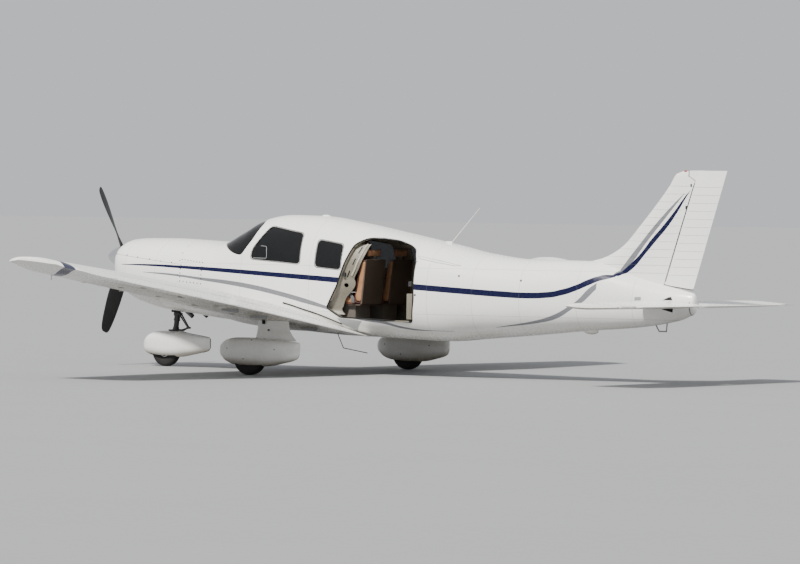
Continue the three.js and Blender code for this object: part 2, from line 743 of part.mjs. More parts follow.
function engineBlock() {
  const block = box(550, 1300, -290, 290, 1120, 1400);
  const sump = box(640, 1240, -150, 150, 1050, 1120.5);
  const mountFrame = join(
    bar([1290, -200, 1200], [firewall + 10, -260, 1230], 14, 14, 8),
    bar([1290, 200, 1200], [firewall + 10, 260, 1230], 14, 14, 8),
  );
  return join(block, sump, mountFrame).intersect(aheadOfFirewall());
}

// A pant's outer form through its short table, centred on its own plane.
function pantForm(sections) {
  const rings = sections.map((row) => {
    const { station, top, bottom, halfWidth, shift } = named(pantColumns, row);
    const middle = (top + bottom) / 2;
    return Array.from({ length: 16 }, (_, k) => {
      const angle = (2 * Math.PI * k) / 16;
      const along = (size, share) => size * Math.sign(share) * Math.abs(share) ** (2 / pantPower);
      return new THREE.Vector3(
        station,
        shift + along(halfWidth, Math.cos(angle)),
        middle + along((top - bottom) / 2, Math.sin(angle)),
      );
    });
  });
  return loft(rings);
}

// The space that a wheel needs inside its pant, open below.
function wheelSpace(wheel, side, sideways) {
  const reach = wheel.radius + wheelClearance;
  const round = bar([wheel.x, sideways - side, wheel.radius], [wheel.x, sideways + side, wheel.radius], reach, reach, 24);
  const below = box(wheel.x - reach, wheel.x + reach, sideways - side, sideways + side, 0, wheel.radius);
  return join(round, below);
}

// The strut inside the fairing and the axle, or the space they need when they are grown.
function mainStrut(grow) {
  const { x, y, radius } = mainWheel;
  return join(
    bar([x, legY, radius - 27 - grow], [x + 36, legY, 610], legRadius + grow, legRadius + grow, 12),
    bar([x, legY, radius], [x, y + 60, radius], axleRadius + grow, axleRadius + grow, 12),
  );
}

function mainPant() {
  const form = geometryOf(pantForm(mainPantSections));
  form.translate(0, mainPantY, 0);
  return solidOfGeometry(form)
    .subtract(wheelSpace(mainWheel, mainWheel.width / 2 + wheelClearance, mainWheel.y))
    .subtract(mainStrut(seat));
}

function mainLeg(wing) {
  const fairing = sidePrism(legOutline, legY - 45, legY + 55, 20);
  const pant = geometryOf(pantForm(mainPantSections));
  pant.translate(0, mainPantY, seat);
  return join(fairing.subtract(solidOfGeometry(pant)), mainStrut(0)).subtract(wing);
}

function tyre(wheel) {
  const half = wheel.width / 2;
  const bead = wheel.rim + seat;
  const profile = [
    [bead, -half * 0.7], [wheel.radius * 0.66, -half], [wheel.radius * 0.93, -half * 0.8],
    [wheel.radius, -half * 0.35], [wheel.radius, half * 0.35], [wheel.radius * 0.93, half * 0.8],
    [wheel.radius * 0.66, half], [bead, half * 0.7], [bead, -half * 0.7],
  ];
  return latheAcross(profile, 24);
}

function rim(wheel) {
  const half = wheel.width / 2;
  const bore = axleRadius + seat;
  const profile = [
    [bore, -half * 0.6], [wheel.rim * 0.8, -half * 0.45], [wheel.rim, -half * 0.7],
    [wheel.rim, half * 0.7], [wheel.rim * 0.8, half * 0.45], [bore, half * 0.6], [bore, -half * 0.6],
  ];
  return latheAcross(profile, 24);
}

// A closed profile of [radius, y] turned about an axle that lies across the aircraft. It has flats
// in place of arcs, drawn outside the true circle, and it rests on one of them.
function latheAcross(profile, sides) {
  const halfFlat = Math.PI / sides;
  const points = profile.map(([r, y]) => new THREE.Vector2(r / Math.cos(halfFlat), y));
  return new THREE.LatheGeometry(points, sides, halfFlat);
}

function noseStrut() {
  const oleo = bar([steerX(706), 0, 706], [steerX(1040), 0, 1040], 42);
  const brace = box(steerX(1000), firewall - seat, -60, 60, 960, 1035);
  const arm = join(
    bar([steerX(950), 0, 950], [firewall + 10, -180, 800], 14, 14, 8),
    bar([steerX(950), 0, 950], [firewall + 10, 180, 800], 14, 14, 8),
  );
  return join(oleo, brace, arm).intersect(aheadOfFirewall());
}

function noseFork() {
  const top = 705.4;
  const cylinder = bar([steerX(560), 0, 560], [steerX(top), 0, top], 36);
  const collar = bar([steerX(600), 0, 600], [steerX(650), 0, 650], 47);
  const piston = bar([steerX(385), 0, 385], [steerX(565), 0, 565], 27);
  const link = (fromX, fromZ, toX, toZ) =>
    join(
      bar([fromX, -22, fromZ], [toX, -14, toZ], 9, 9, 8),
      bar([fromX, 22, fromZ], [toX, 14, toZ], 9, 9, 8),
    );
  const knee = bar([1187, -32, 464], [1187, 32, 464], 12, 12, 10);
  const upperPin = bar([steerX(625) + 40, -32, 625], [steerX(625) + 40, 32, 625], 12, 12, 10);
  const lowerPin = bar([1097, -32, 434], [1097, 32, 434], 12, 12, 10);
  const lug = box(steerX(434), 1097, -14, 14, 424, 444);
  const links = join(
    link(steerX(625) + 40, 625, 1187, 464),
    link(1187, 464, 1097, 434),
    knee, upperPin, lowerPin, lug,
  );
  const legInside = noseWheel.width / 2 + 10;
  const crown = box(steerX(400) - 55, steerX(400) + 45, -legInside - 18, legInside + 18, 384, 402);
  const forkLeg = (side) => {
    const y = side * (legInside + 9);
    const plate = [[noseWheel.x - 22, 160], [noseWheel.x + 22, 160], [steerX(400) + 40, 390], [steerX(400) - 50, 390]];
    return sidePrism(plate, y - 9, y + 9, 10);
  };
  const axle = bar(
    [noseWheel.x, -legInside - 10, noseWheel.radius], [noseWheel.x, legInside + 10, noseWheel.radius], axleRadius,
  );
  return join(cylinder, collar, piston, links, crown, forkLeg(-1), forkLeg(1), axle);
}

function nosePant(fork) {
  const inside = noseWheel.width / 2 + 10 + 18 + seat;
  const crownSpace = box(steerX(400) - 60, steerX(400) + 50, -inside, inside, 200, 402 + seat);
  const pistonSpace = bar([steerX(380), 0, 380], [steerX(520), 0, 520], 28);
  return pantForm(nosePantSections)
    .subtract(wheelSpace(noseWheel, inside, 0))
    .subtract(crownSpace)
    .subtract(pistonSpace)
    .subtract(fork);
}

function cabinFloor() {
  const inside = fuselage(cabinStart + 40, cabinEnd - 5, cabinWall + seat);
  const plate = box(floorStart, cabinEnd - 6, -far, far, floorTop - floorThickness, floorTop);
  const pedestals = seatPlaces.map(([, x, y]) =>
    box(
      x + pedestal.inset, x + pedestal.inset + pedestal.length,
      y - pedestal.width / 2, y + pedestal.width / 2, floorTop - 1, floorTop + pedestal.height,
    ),
  );
  return join(plate, ...pedestals).intersect(inside);
}

function instrumentPanel() {
  const inside = fuselage(cabinStart + 20, cabinEnd, cabinWall + seat);
  const face = box(2085, 2125, -far, far, 960, 1420);
  const shield = box(1905, 2170, -far, far, 1415, 1440);
  const yoke = (y) =>
    join(
      bar([2124, y, 1130], [2300, y, 1130], 14, 14, 12),
      box(2290, 2318, y - 130, y + 130, 1116, 1144),
      box(2290, 2318, y - 142, y - 114, 1100, 1230),
      box(2290, 2318, y + 114, y + 142, 1100, 1230),
    );
  return join(join(face, shield).intersect(inside), yoke(-290), yoke(290));
}

function seatSolid() {
  return join(
    sidePrism(seatProfile, -seatWidth / 2, seatWidth / 2, 30),
    sidePrism(headrestProfile, -headrestWidth / 2, headrestWidth / 2, 15),
  );
}

const aircraft = new THREE.Group();

function place(name, shape, material, position = [0, 0, 0], parent = aircraft) {
  const geometry = shape.isBufferGeometry ? shape : geometryOf(shape);
  const mesh = new THREE.Mesh(geometry, material);
  mesh.name = name;
  mesh.position.set(...position);
  parent.add(mesh);
  return mesh;
}

// The same solid on the right and, mirrored, on the left.
function placePair(name, shape, material) {
  place(`${name}_right`, shape, material);
  place(`${name}_left`, shape, material).scale.y = -1;
}

// Nose
const cowl = cowlHalves();
place("cowl_upper", cowl.upper, whiteFibre);
place("cowl_lower", cowl.lower, whiteFibre);
place("engine_block", engineBlock(), castMetal);
place("nose_bay", noseBay(), white);
place("nose_bay_door", noseBayDoor(), white);

// Propeller, turned about the thrust line
place("spinner", spinner(0), polished);
const spinnerSpace = spinner(seat);
const bladeShape = geometryOf(blade());
bladeShape.translate(propeller.x, 0, 0);
for (const [k, name] of ["blade_upper", "blade_lower", "blade_side"].entries()) {
  const turned = bladeShape.clone();
  turned.rotateX(THREE.MathUtils.degToRad(propeller.firstAngle + 120 * k));
  turned.translate(0, 0, thrustLine);
  place(name, solidOfGeometry(turned).subtract(spinnerSpace), blackPaint);
}

// Cabin
const cabin = cabinPanels();
place("cabin_roof", cabin.roof, white);
const skinSpace = fuselage(cabinStart, cabinEnd, -seat);
const whip = join(bar([4822, 0, 1500], [5229, 0, 1938], 6, 3, 8), box(4790, 4870, -16, 16, 1490, 1552));
place("antenna_whip", whip.subtract(skinSpace), blackPaint);
place("cabin_side_right", cabin.right, white);
place("cabin_side_left", cabin.left, white);
place("cabin_belly", cabin.belly, white);
const bellyWire = join(
  bar([3490, -290, 480], [3583, -290, 297], 5, 5, 8),
  bar([3580, -290, 298], [3915, -290, 248], 5, 5, 8),
);
place("antenna_belly", bellyWire.subtract(skinSpace), blackPaint);
place("cabin_floor", cabinFloor(), trim);
place("instrument_panel", instrumentPanel(), panelPlastic);

// Glass
const windshieldSheet = fuselage(cabinStart + 1, 2800, 8).subtract(fuselage(cabinStart, 2801, 16));
const windshieldPane = windshieldSheet.intersect(windshieldCut(seat));
placePair("windshield", windshieldPane, darkGlass);
place("window_front_left", pane(frontWindowOutline, windowRadius, -far, -250), darkGlass);
place("window_second_left", pane(secondWindowOutline, windowRadius, -far, -250), darkGlass);
place("window_second_right", pane(secondWindowOutline, windowRadius, 250, far), darkGlass);
place("window_third_right", pane(thirdWindowOutline, windowRadius, 250, far), darkGlass);
place("window_rear_right", pane(rearWindowOutline, windowRadius, 250, far), darkGlass);

// Front door on the right, with its own window
const doorSkin = fuselageShell(cabinStart, cabinEnd, cabinWall);
const doorPanel = doorSkin
  .intersect(sidePrism(frontDoorOutline, 250, far, doorRadius))
  .subtract(sidePrism(frontWindowOutline, 250, far, windowRadius))
  .add(frontDoorPin(0));
place("front_door", doorPanel, white);
place("front_door_window", pane(frontWindowOutline, windowRadius, 250, far), darkGlass);

// Seats
const seatShape = geometryOf(seatSolid());
for (const [name, x, y] of seatPlaces) place(name, seatShape.clone(), leather, [x, y, floorTop]);

// Tail
place("tail_cone", tailCone(), white);
place("tail_tie_down", tieDown(), gearMetal);
place("fin", fin(), white);
place("rudder", rudder(), white);
place("stabilator", stabilator(), white);
place("stabilator_tab", stabilatorTab(), white);

// Wings
const wing = wingPieces();
placePair("wing", wing.panel, white);
placePair("flap", wing.flap, white);
placePair("aileron", wing.aileron, white);

// Main gear
const wingAbove = geometryOf(wingForm());
wingAbove.translate(0, 0, -seat);
placePair("main_leg", mainLeg(solidOfGeometry(wingAbove)), whiteFibre);
placePair("main_pant", mainPant(), whiteFibre);
for (const [side, name] of [[-1, "left"], [1, "right"]]) {
  const axle = [mainWheel.x, side * mainWheel.y, mainWheel.radius];
  place(`main_tyre_${name}`, tyre(mainWheel), rubber, axle);
  place(`main_rim_${name}`, rim(mainWheel), polished, axle);
}

// Nose gear
const fork = noseFork();
const noseAxle = [noseWheel.x, 0, noseWheel.radius];
place("nose_strut", noseStrut(), gearMetal);
place("nose_fork", fork, gearMetal);
place("nose_pant", nosePant(fork), whiteFibre);
place("nose_tyre", tyre(noseWheel), rubber, noseAxle);
place("nose_rim", rim(noseWheel), polished, noseAxle);

aircraft.position.x = -overallLength / 2;

export default aircraft;
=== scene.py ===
import bisect
import math

import bpy
from mathutils import Matrix, Vector


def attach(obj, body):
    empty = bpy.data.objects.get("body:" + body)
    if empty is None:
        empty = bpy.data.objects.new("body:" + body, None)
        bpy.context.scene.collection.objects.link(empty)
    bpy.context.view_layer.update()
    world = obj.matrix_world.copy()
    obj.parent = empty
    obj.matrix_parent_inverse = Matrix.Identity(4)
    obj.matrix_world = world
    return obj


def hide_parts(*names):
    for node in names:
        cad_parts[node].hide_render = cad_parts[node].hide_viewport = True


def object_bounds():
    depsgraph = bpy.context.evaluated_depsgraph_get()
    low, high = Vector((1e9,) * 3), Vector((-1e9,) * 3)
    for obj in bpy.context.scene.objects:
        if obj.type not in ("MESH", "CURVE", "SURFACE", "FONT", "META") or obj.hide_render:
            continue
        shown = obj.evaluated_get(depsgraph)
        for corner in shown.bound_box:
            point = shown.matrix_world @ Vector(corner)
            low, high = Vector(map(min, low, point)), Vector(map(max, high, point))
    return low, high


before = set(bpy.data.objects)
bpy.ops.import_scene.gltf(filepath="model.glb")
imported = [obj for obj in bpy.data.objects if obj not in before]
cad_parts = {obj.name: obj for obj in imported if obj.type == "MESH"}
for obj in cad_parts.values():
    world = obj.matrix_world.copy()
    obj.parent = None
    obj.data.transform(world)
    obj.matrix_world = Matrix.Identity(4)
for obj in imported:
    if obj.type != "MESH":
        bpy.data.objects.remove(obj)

# A six-seat light aircraft parked on its gear. Metres, the nose towards -X, the left wing towards -Y.
# Stations are metres aft of the spinner's tip.
cadBox = [list(corner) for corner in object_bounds()]
noseX = cadBox[0][0]
sides = {"Left": -1, "Right": 1}


def at(station, y, z):
    return Vector((station + noseX, y, z))


# Working helpers
def deselectAll():
    if bpy.context.object and bpy.context.object.mode != "OBJECT":
        bpy.ops.object.mode_set(mode="OBJECT")
    bpy.ops.object.select_all(action="DESELECT")


def choose(piece):
    deselectAll()
    piece.select_set(True)
    bpy.context.view_layer.objects.active = piece


def editAll(piece):
    choose(piece)
    bpy.ops.object.mode_set(mode="EDIT")
    bpy.ops.mesh.select_all(action="SELECT")


def endEdit():
    bpy.ops.object.mode_set(mode="OBJECT")


def applyModifier(piece, kind, **settings):
    choose(piece)
    modifier = piece.modifiers.new(kind.title(), kind)
    for key, value in settings.items():
        setattr(modifier, key, value)
    bpy.ops.object.modifier_apply(modifier=modifier.name)
    return piece


def cut(piece, cutter, operation="DIFFERENCE", keep=False):
    applyModifier(piece, "BOOLEAN", operation=operation, object=cutter, solver="EXACT")
    if not keep:
        bpy.data.objects.remove(cutter)
    return piece


def faceOut(piece):
    editAll(piece)
    bpy.ops.mesh.remove_doubles(threshold=0.00002)
    bpy.ops.mesh.normals_make_consistent(inside=False)
    endEdit()
    return piece


def copyOf(piece, name):
    made = piece.copy()
    made.data = piece.data.copy()
    made.name = name
    bpy.context.collection.objects.link(made)
    return made


def joinAll(name, pieces):
    choose(pieces[0])
    for piece in pieces:
        piece.select_set(True)
    if len(pieces) > 1:
        bpy.ops.object.join()
    bpy.context.object.name = name
    return bpy.context.object


def freeze(piece):
    choose(piece)
    bpy.ops.object.transform_apply(location=True, rotation=True, scale=True)
    return piece


def meshOf(name, points, faces=(), edges=()):
    mesh = bpy.data.meshes.new(name)
    mesh.from_pydata([tuple(point) for point in points], edges, faces)
    piece = bpy.data.objects.new(name, mesh)
    bpy.context.collection.objects.link(piece)
    return piece


# A skin through rings that all have the same number of points.
def loft(name, rings, around=False):
    count = len(rings[0])
    faces = []
    for row in range(len(rings) if around else len(rings) - 1):
        here, there = row * count, (row + 1) % len(rings) * count
        for k in range(count):
            after = (k + 1) % count
            faces.append((here + k, here + after, there + after, there + k))
    if not around:
        faces.append(tuple(range(count)))
        faces.append(tuple(range((len(rings) - 1) * count, len(rings) * count)))
    return faceOut(meshOf(name, [point for ring in rings for point in ring], faces))


# Shares from nought to one that crowd together at both ends, or at the first end for a quarter turn.
def eased(count, turn=math.pi):
    full = 2 if turn == math.pi else 1
    return [(1 - math.cos(turn * k / count)) / full for k in range(count + 1)]


# A ring round a section: along one side of it, then back along the other.
def foilRing(shares, place, last=None):
    return [place(share, 1) for share in shares] + [place(share, -1) for share in reversed(shares[1:last])]


# The points of an outline with short curves for corners, as in the solids.
def rounded(corners, radius, steps=5):
    if radius == 0:
        return [Vector(corner) for corner in corners]
    points = []
    for k, corner in enumerate(corners):
        here = Vector(corner)
        ends = []
        for other in (corners[k - 1], corners[(k + 1) % len(corners)]):
            away = Vector(other) - here
            ends.append(here + away.normalized() * min(radius, away.length * 0.45))
        for step in range(steps + 1):
            t = step / steps
            points.append(ends[0] * (1 - t) ** 2 + here * 2 * t * (1 - t) + ends[1] * t ** 2)
    return points


# Each edge of a closed outline moved outwards, or inwards when the distance is negative.
def grown(corners, distance):
    area = sum(
        x * corners[(k + 1) % len(corners)][1] - corners[(k + 1) % len(corners)][0] * z
        for k, (x, z) in enumerate(corners)
    )
    side = -math.copysign(distance, area)
    edges = []
    for k, corner in enumerate(corners):
        along = (Vector(corners[(k + 1) % len(corners)]) - Vector(corner)).normalized()
        edges.append((Vector(corner) + Vector((-along.y, along.x)) * side, along))
    moved = []
    for k, (point, along) in enumerate(edges):
        before, direction = edges[k - 1]
        cross = direction.x * along.y - direction.y * along.x
        gap = point - before
        share = (gap.x * along.y - gap.y * along.x) / cross
        moved.append(tuple(before + direction * share))
    return moved


# A solid from an outline in the side view, or in plan, pushed across the aircraft or up through it.
def prism(name, corners, start, end, radius=0.0, plan=False):
    outline = rounded(corners, radius)
    points = [at(p.x, p.y, start) if plan else at(p.x, start, p.y) for p in outline]
    piece = meshOf(name, points, [tuple(range(len(points)))])
    editAll(piece)
    push = (0, 0, end - start) if plan else (0, end - start, 0)
    bpy.ops.mesh.extrude_region_move(TRANSFORM_OT_translate={"value": push})
    endEdit()
    return faceOut(piece)


def block(name, low, high, bevel=0.0, segments=3):
    low, high = at(*low), at(*high)
    deselectAll()
    bpy.ops.mesh.primitive_cube_add(size=1, location=(low + high) / 2)
    piece = bpy.context.object
    piece.scale = high - low
    piece.name = name
    freeze(piece)
    if bevel:
        applyModifier(piece, "BEVEL", width=bevel, segments=segments, limit_method="NONE")
    return piece


# A round bar between two points, with its own radius at each end.
def rod(name, start, end, radius, endRadius=None, sides=32, bevel=0.0):
    start, end = at(*start), at(*end)
    along = end - start
    deselectAll()
    bpy.ops.mesh.primitive_cone_add(
        vertices=sides, radius1=radius, radius2=radius if endRadius is None else endRadius,
        depth=along.length, location=(start + end) / 2,
        rotation=along.to_track_quat("Z", "Y").to_euler(),
    )
    piece = bpy.context.object
    piece.name = name
    freeze(piece)
    if bevel:
        applyModifier(piece, "BEVEL", width=bevel, segments=3, limit_method="ANGLE")
    return piece


# Round tubes along one or more paths of points, as one mesh.
def tubes(name, paths, radius, closed=False, sides=3, smooth=False):
    curve = bpy.data.curves.new(name, "CURVE")
    curve.dimensions = "3D"
    curve.bevel_depth = radius
    curve.bevel_resolution = sides
    curve.use_fill_caps = not closed
    curve.resolution_u = 6
    for path in paths:
        spline = curve.splines.new("NURBS" if smooth else "POLY")
        spline.points.add(len(path) - 1)
        for point, place in zip(spline.points, path):
            point.co = (*place, 1)
        spline.use_cyclic_u = closed
        if smooth:
            spline.order_u = 3
            spline.use_endpoint_u = True
    piece = bpy.data.objects.new(name, curve)
    bpy.context.collection.objects.link(piece)
    choose(piece)
    bpy.ops.object.convert(target="MESH")
    return faceOut(bpy.context.object)


# A profile of [radius, along] points turned about an axle across the aircraft, about X or about Z.
def turned(name, profile, centre, axis="Y", steps=64):
    place = at(*centre)
    lay = {
        "X": lambda radius, along: (along, 0, radius),
        "Y": lambda radius, along: (0, along, radius),
        "Z": lambda radius, along: (radius, 0, along),
    }[axis]
    points = [place + Vector(lay(radius, along)) for radius, along in profile]
    piece = meshOf(name, points, edges=[(k, k + 1) for k in range(len(points) - 1)])
    editAll(piece)
    turnAxis = [float(letter == axis) for letter in "XYZ"]
    bpy.ops.mesh.spin(steps=steps, angle=2 * math.pi, center=place, axis=turnAxis)
    endEdit()
    return faceOut(piece)


# Keeps the part of a mesh on the side that the normal points to, and closes the cut.
def keepSide(piece, point, normal):
    editAll(piece)
    bpy.ops.mesh.bisect(plane_co=point, plane_no=normal, use_fill=True, clear_inner=True)
    endEdit()
    return piece


# Small round heads, modelled once and copied to each place.
def heads(name, places, radius, height=0.002, sides=10):
    first = rod(name, (0, 0, 0), (0, 0, height * 2), radius, radius * 0.8, sides)
    made = []
    for point, normal in places:
        head = copyOf(first, name)
        turn = Vector(normal).to_track_quat("Z", "Y").to_matrix().to_4x4()
        shift = Matrix.Translation(-Vector((noseX, 0, height)))
        head.data.transform(Matrix.Translation(point) @ turn @ shift)
        made.append(head)
    bpy.data.objects.remove(first)
    return joinAll(name, made)


# Gives a piece its finish and smooth shading, hides the solid that it stands for, and attaches it to the body
# that it rides on.
def finishPiece(piece, finish, slot, solid=None, body="airframe", angle=35):
    if finish is not None:
        piece.data.materials.clear()
        piece.data.materials.append(look[finish])
    choose(piece)
    bpy.ops.object.shade_smooth_by_angle(angle=math.radians(angle))
    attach(piece, body)
    if solid:
        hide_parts(solid)
    return piece


# A smooth curve through each column of a table, which never overshoots its rows.
def smoothTable(rows):
    xs = [row[0] for row in rows]

    def slopesOf(ys):
        steps = [(ys[k + 1] - ys[k]) / (xs[k + 1] - xs[k]) for k in range(len(xs) - 1)]
        inner = [0 if a * b <= 0 else 2 * a * b / (a + b) for a, b in zip(steps, steps[1:])]
        return [steps[0], *inner, steps[-1]]

    columns = [[row[k] for row in rows] for k in range(1, len(rows[0]))]
    slopes = [slopesOf(column) for column in columns]

    def valuesAt(x):
        x = min(max(x, xs[0]), xs[-1])
        k = max(0, min(bisect.bisect_right(xs, x) - 1, len(xs) - 2))
        span = xs[k + 1] - xs[k]
        t = (x - xs[k]) / span
        weights = (
            2 * t ** 3 - 3 * t ** 2 + 1, (t ** 3 - 2 * t ** 2 + t) * span,
            3 * t ** 2 - 2 * t ** 3, (t ** 3 - t ** 2) * span,
        )
        return [
            weights[0] * ys[k] + weights[1] * ms[k] + weights[2] * ys[k + 1] + weights[3] * ms[k + 1]
            for ys, ms in zip(columns, slopes)
        ]

    return valuesAt


# Shader helpers
def node(tree, kind, inputs=None, **settings):
    made = tree.nodes.new("ShaderNode" + kind)
    for key, value in settings.items():
        setattr(made, key, value)
    for key, value in (inputs or {}).items():
        if isinstance(value, bpy.types.NodeSocket):
            tree.links.new(value, made.inputs[key])
        else:
            made.inputs[key].default_value = value
    return made


# One operation on two values, or on a row of them in turn.
def maths(tree, operation, first, *others):
    for other in others or (0.0,):
        first = node(tree, "Math", {0: first, 1: other}, operation=operation).outputs[0]
    return first


def mixed(tree, share, first, second):
    return node(tree, "Mix", {0: share, 6: first, 7: second}, data_type="RGBA").outputs[2]


def newMaterial(name, **sockets):
    material = bpy.data.materials.new(name)
    material.use_nodes = True
    tree = material.node_tree
    shader = tree.nodes["Principled BSDF"]
    for key, value in sockets.items():
        shader.inputs[key.replace("_", " ")].default_value = value
    return material, tree, shader


def coordinates(tree):
    place = node(tree, "TexCoord").outputs["Object"]
    parts = node(tree, "SeparateXYZ", {0: place})
    station = maths(tree, "SUBTRACT", parts.outputs[0], noseX)
    return place, station, parts.outputs[1], parts.outputs[2]


def noise(tree, place, scale, detail=3.0):
    return node(tree, "TexNoise", {"Vector": place, "Scale": scale, "Detail": detail}).outputs[0]


def ranged(tree, value, low, high, toLow, toHigh):
    return node(tree, "MapRange", {0: value, 1: low, 2: high, 3: toLow, 4: toHigh}).outputs[0]


def bumped(tree, shader, height, strength, distance=0.002):
    made = node(tree, "Bump", {"Height": height, "Strength": strength, "Distance": distance})
    tree.links.new(made.outputs[0], shader.inputs["Normal"])


# Links the colour, and a roughness that follows a noise between two values.
def linkFinish(tree, shader, colour, grain, low, high):
    tree.links.new(colour, shader.inputs["Base Color"])
    tree.links.new(ranged(tree, grain, 0.3, 0.7, low, high), shader.inputs["Roughness"])


# The distance to the nearest of some values.
def nearest(tree, value, places):
    gaps = [maths(tree, "ABSOLUTE", maths(tree, "SUBTRACT", value, place)) for place in places]
    return maths(tree, "MINIMUM", gaps[0], *gaps)


# The height of a painted edge along the aircraft, drawn through its points.
def edgeCurve(tree, along, points):
    start, end = points[0][0], points[-1][0]
    made = node(tree, "FloatCurve", {1: ranged(tree, along, start, end, 0, 1)})
    curve = made.mapping.curves[0]
    low = min(value for x, value in points)
    span = max(value for x, value in points) - low
    curve.points[0].location = (0, (points[0][1] - low) / span)
    curve.points[1].location = (1, (points[-1][1] - low) / span)
    for x, value in points[1:-1]:
        curve.points.new((x - start) / (end - start), (value - low) / span)
    for point in curve.points:
        point.handle_type = "AUTO_CLAMPED"
    made.mapping.update()
    return maths(tree, "ADD", maths(tree, "MULTIPLY", made.outputs[0], span), low)


# One where a point lies between the two edges, and nought elsewhere.
def bandMask(tree, along, across, low, high):
    start, end = max(low[0][0], high[0][0]), min(low[-1][0], high[-1][0])
    return maths(
        tree, "MULTIPLY", maths(tree, "GREATER_THAN", across, edgeCurve(tree, along, low)),
        maths(tree, "LESS_THAN", across, edgeCurve(tree, along, high)),
        maths(tree, "GREATER_THAN", along, start), maths(tree, "LESS_THAN", along, end))


paint = {
    # below is a painted shade for faces that look downwards, tinted like light thrown up from the ground
    "white": (0.83, 0.83, 0.81, 1), "dirt": (0.3, 0.255, 0.18, 1), "below": (0.36, 0.32, 0.25, 1),
    "navy": (0.002, 0.003, 0.032, 1), "grey": (0.17, 0.175, 0.19, 1),
    "seam": (0.1, 0.1, 0.1, 1), "seamWidth": 0.0013, "seamShade": 0.62, "seamDepth": 0.5,
    "rivet": (0.2, 0.2, 0.2, 1), "rivetRadius": 0.0024, "rivetStep": 0.028, "rivetInset": 0.012,
    "rivetShade": 0.12, "rivetHeight": 0.25,
    # how far out the underside's dirt and painted shade start to fade, and where they have faded to the last
    # value
    "clean": (4.4, 4.9, 1, 0.3),
}


# Gloss white paint over riveted sheet: seams as dark grooves, and a row of rivets along each side of them.
# Faces that look downwards take a painted shade in the below colour, tinted like light thrown up from the
# ground, and heavier dirt that is partly painted shade as well.
def paintMaterial(name, seams, bands=(), grime=0.15, rivets=True, shaded=0.75):
    material, tree, shader = newMaterial(name, Coat_Weight=0.08, Coat_Roughness=0.08, Specular_IOR_Level=0.28)
    place, station, y, z = coordinates(tree)
    axes = {"station": station, "y": maths(tree, "ABSOLUTE", y), "z": z}
    facing = node(tree, "SeparateXYZ", {0: node(tree, "NewGeometry").outputs["Normal"]}).outputs[2]
    stretched = node(tree, "Mapping", {"Vector": place, "Scale": (0.7, 4.0, 4.0)}).outputs[0]
    clouds = maths(tree, "ADD", noise(tree, place, 1.7, 2.5), noise(tree, stretched, 2.2, 1.5))
    inboard = ranged(tree, axes["y"], *paint["clean"])
    under = maths(tree, "MULTIPLY", ranged(tree, facing, -0.9, -0.1, 1, 0), inboard)
    patches = maths(tree, "MULTIPLY", inboard, ranged(tree, clouds, 0.75, 1.3, 0.15, 1))
    lowDown = maths(tree, "ADD", ranged(tree, z, 0.3, 1.1, 1, 0), 0.2)
    # Dirt patches, heavier lower down and much heavier on faces that look downwards, where they also stand in
    # for shade: partly dirt, partly painted shade.
    dirt = maths(tree, "MULTIPLY", patches, maths(tree, "ADD", maths(tree, "MULTIPLY", under, 1.6), lowDown))
    # Painted shade: faces that look downwards are darkened towards the below colour, as far as shaded allows.
    colour = mixed(tree, maths(tree, "MULTIPLY", under, shaded), paint["white"], paint["below"])
    colour = mixed(tree, maths(tree, "MULTIPLY", dirt, grime), colour, paint["dirt"])
    for along, across, lowEdge, highEdge, shade in bands:
        mask = bandMask(tree, axes[along], axes[across], lowEdge, highEdge)
        colour = mixed(tree, mask, colour, paint[shade])
    height = maths(tree, "MULTIPLY", noise(tree, place, 2.6, 1), 0.5)
    grooves, studs = [], []
    for axis, places, along in seams:
        gap = nearest(tree, axes[axis], places)
        grooves.append(maths(tree, "LESS_THAN", gap, paint["seamWidth"]))
        if rivets and along:
            across = maths(tree, "SUBTRACT", gap, paint["rivetInset"])
            ahead = maths(tree, "PINGPONG", axes[along], paint["rivetStep"] / 2)
            squares = [maths(tree, "MULTIPLY", part, part) for part in (across, ahead)]
            reach = maths(tree, "SQRT", maths(tree, "ADD", *squares))
            studs.append(ranged(tree, reach, paint["rivetRadius"], paint["rivetRadius"] * 0.5, 0, 1))
    for marks, key, lift in ((grooves, "seam", -paint["seamDepth"]), (studs, "rivet", paint["rivetHeight"])):
        if marks:
            mask = maths(tree, "MAXIMUM", *marks, 0.0)
            colour = mixed(tree, maths(tree, "MULTIPLY", mask, paint[f"{key}Shade"]), colour, paint[key])
            height = maths(tree, "ADD", height, maths(tree, "MULTIPLY", mask, lift))
    linkFinish(tree, shader, colour, noise(tree, place, 38, 5), 0.2, 0.34)
    bumped(tree, shader, height, 0.35)
    return material


navyTop = [
    (0.56, 1.209), (1.02, 1.218), (1.47, 1.21), (2.13, 1.19), (2.85, 1.158), (3.48, 1.129), (4.79, 1.06),
    (5.49, 1.02), (5.8, 1.004), (6.1, 0.994), (6.33, 1.004), (6.51, 1.036), (6.68, 1.09), (6.84, 1.163),
    (6.95, 1.199), (7.03, 1.212), (7.12, 1.21),
]
navyBottom = [
    (0.56, 1.203), (1.02, 1.194), (1.47, 1.176), (2.13, 1.142), (2.85, 1.103), (3.48, 1.068), (4.79, 0.992),
    (5.49, 0.952), (5.8, 0.936), (6.1, 0.927), (6.33, 0.937), (6.51, 0.967), (6.68, 1.021), (6.85, 1.097),
    (6.96, 1.144), (7.04, 1.165), (7.12, 1.191),
]
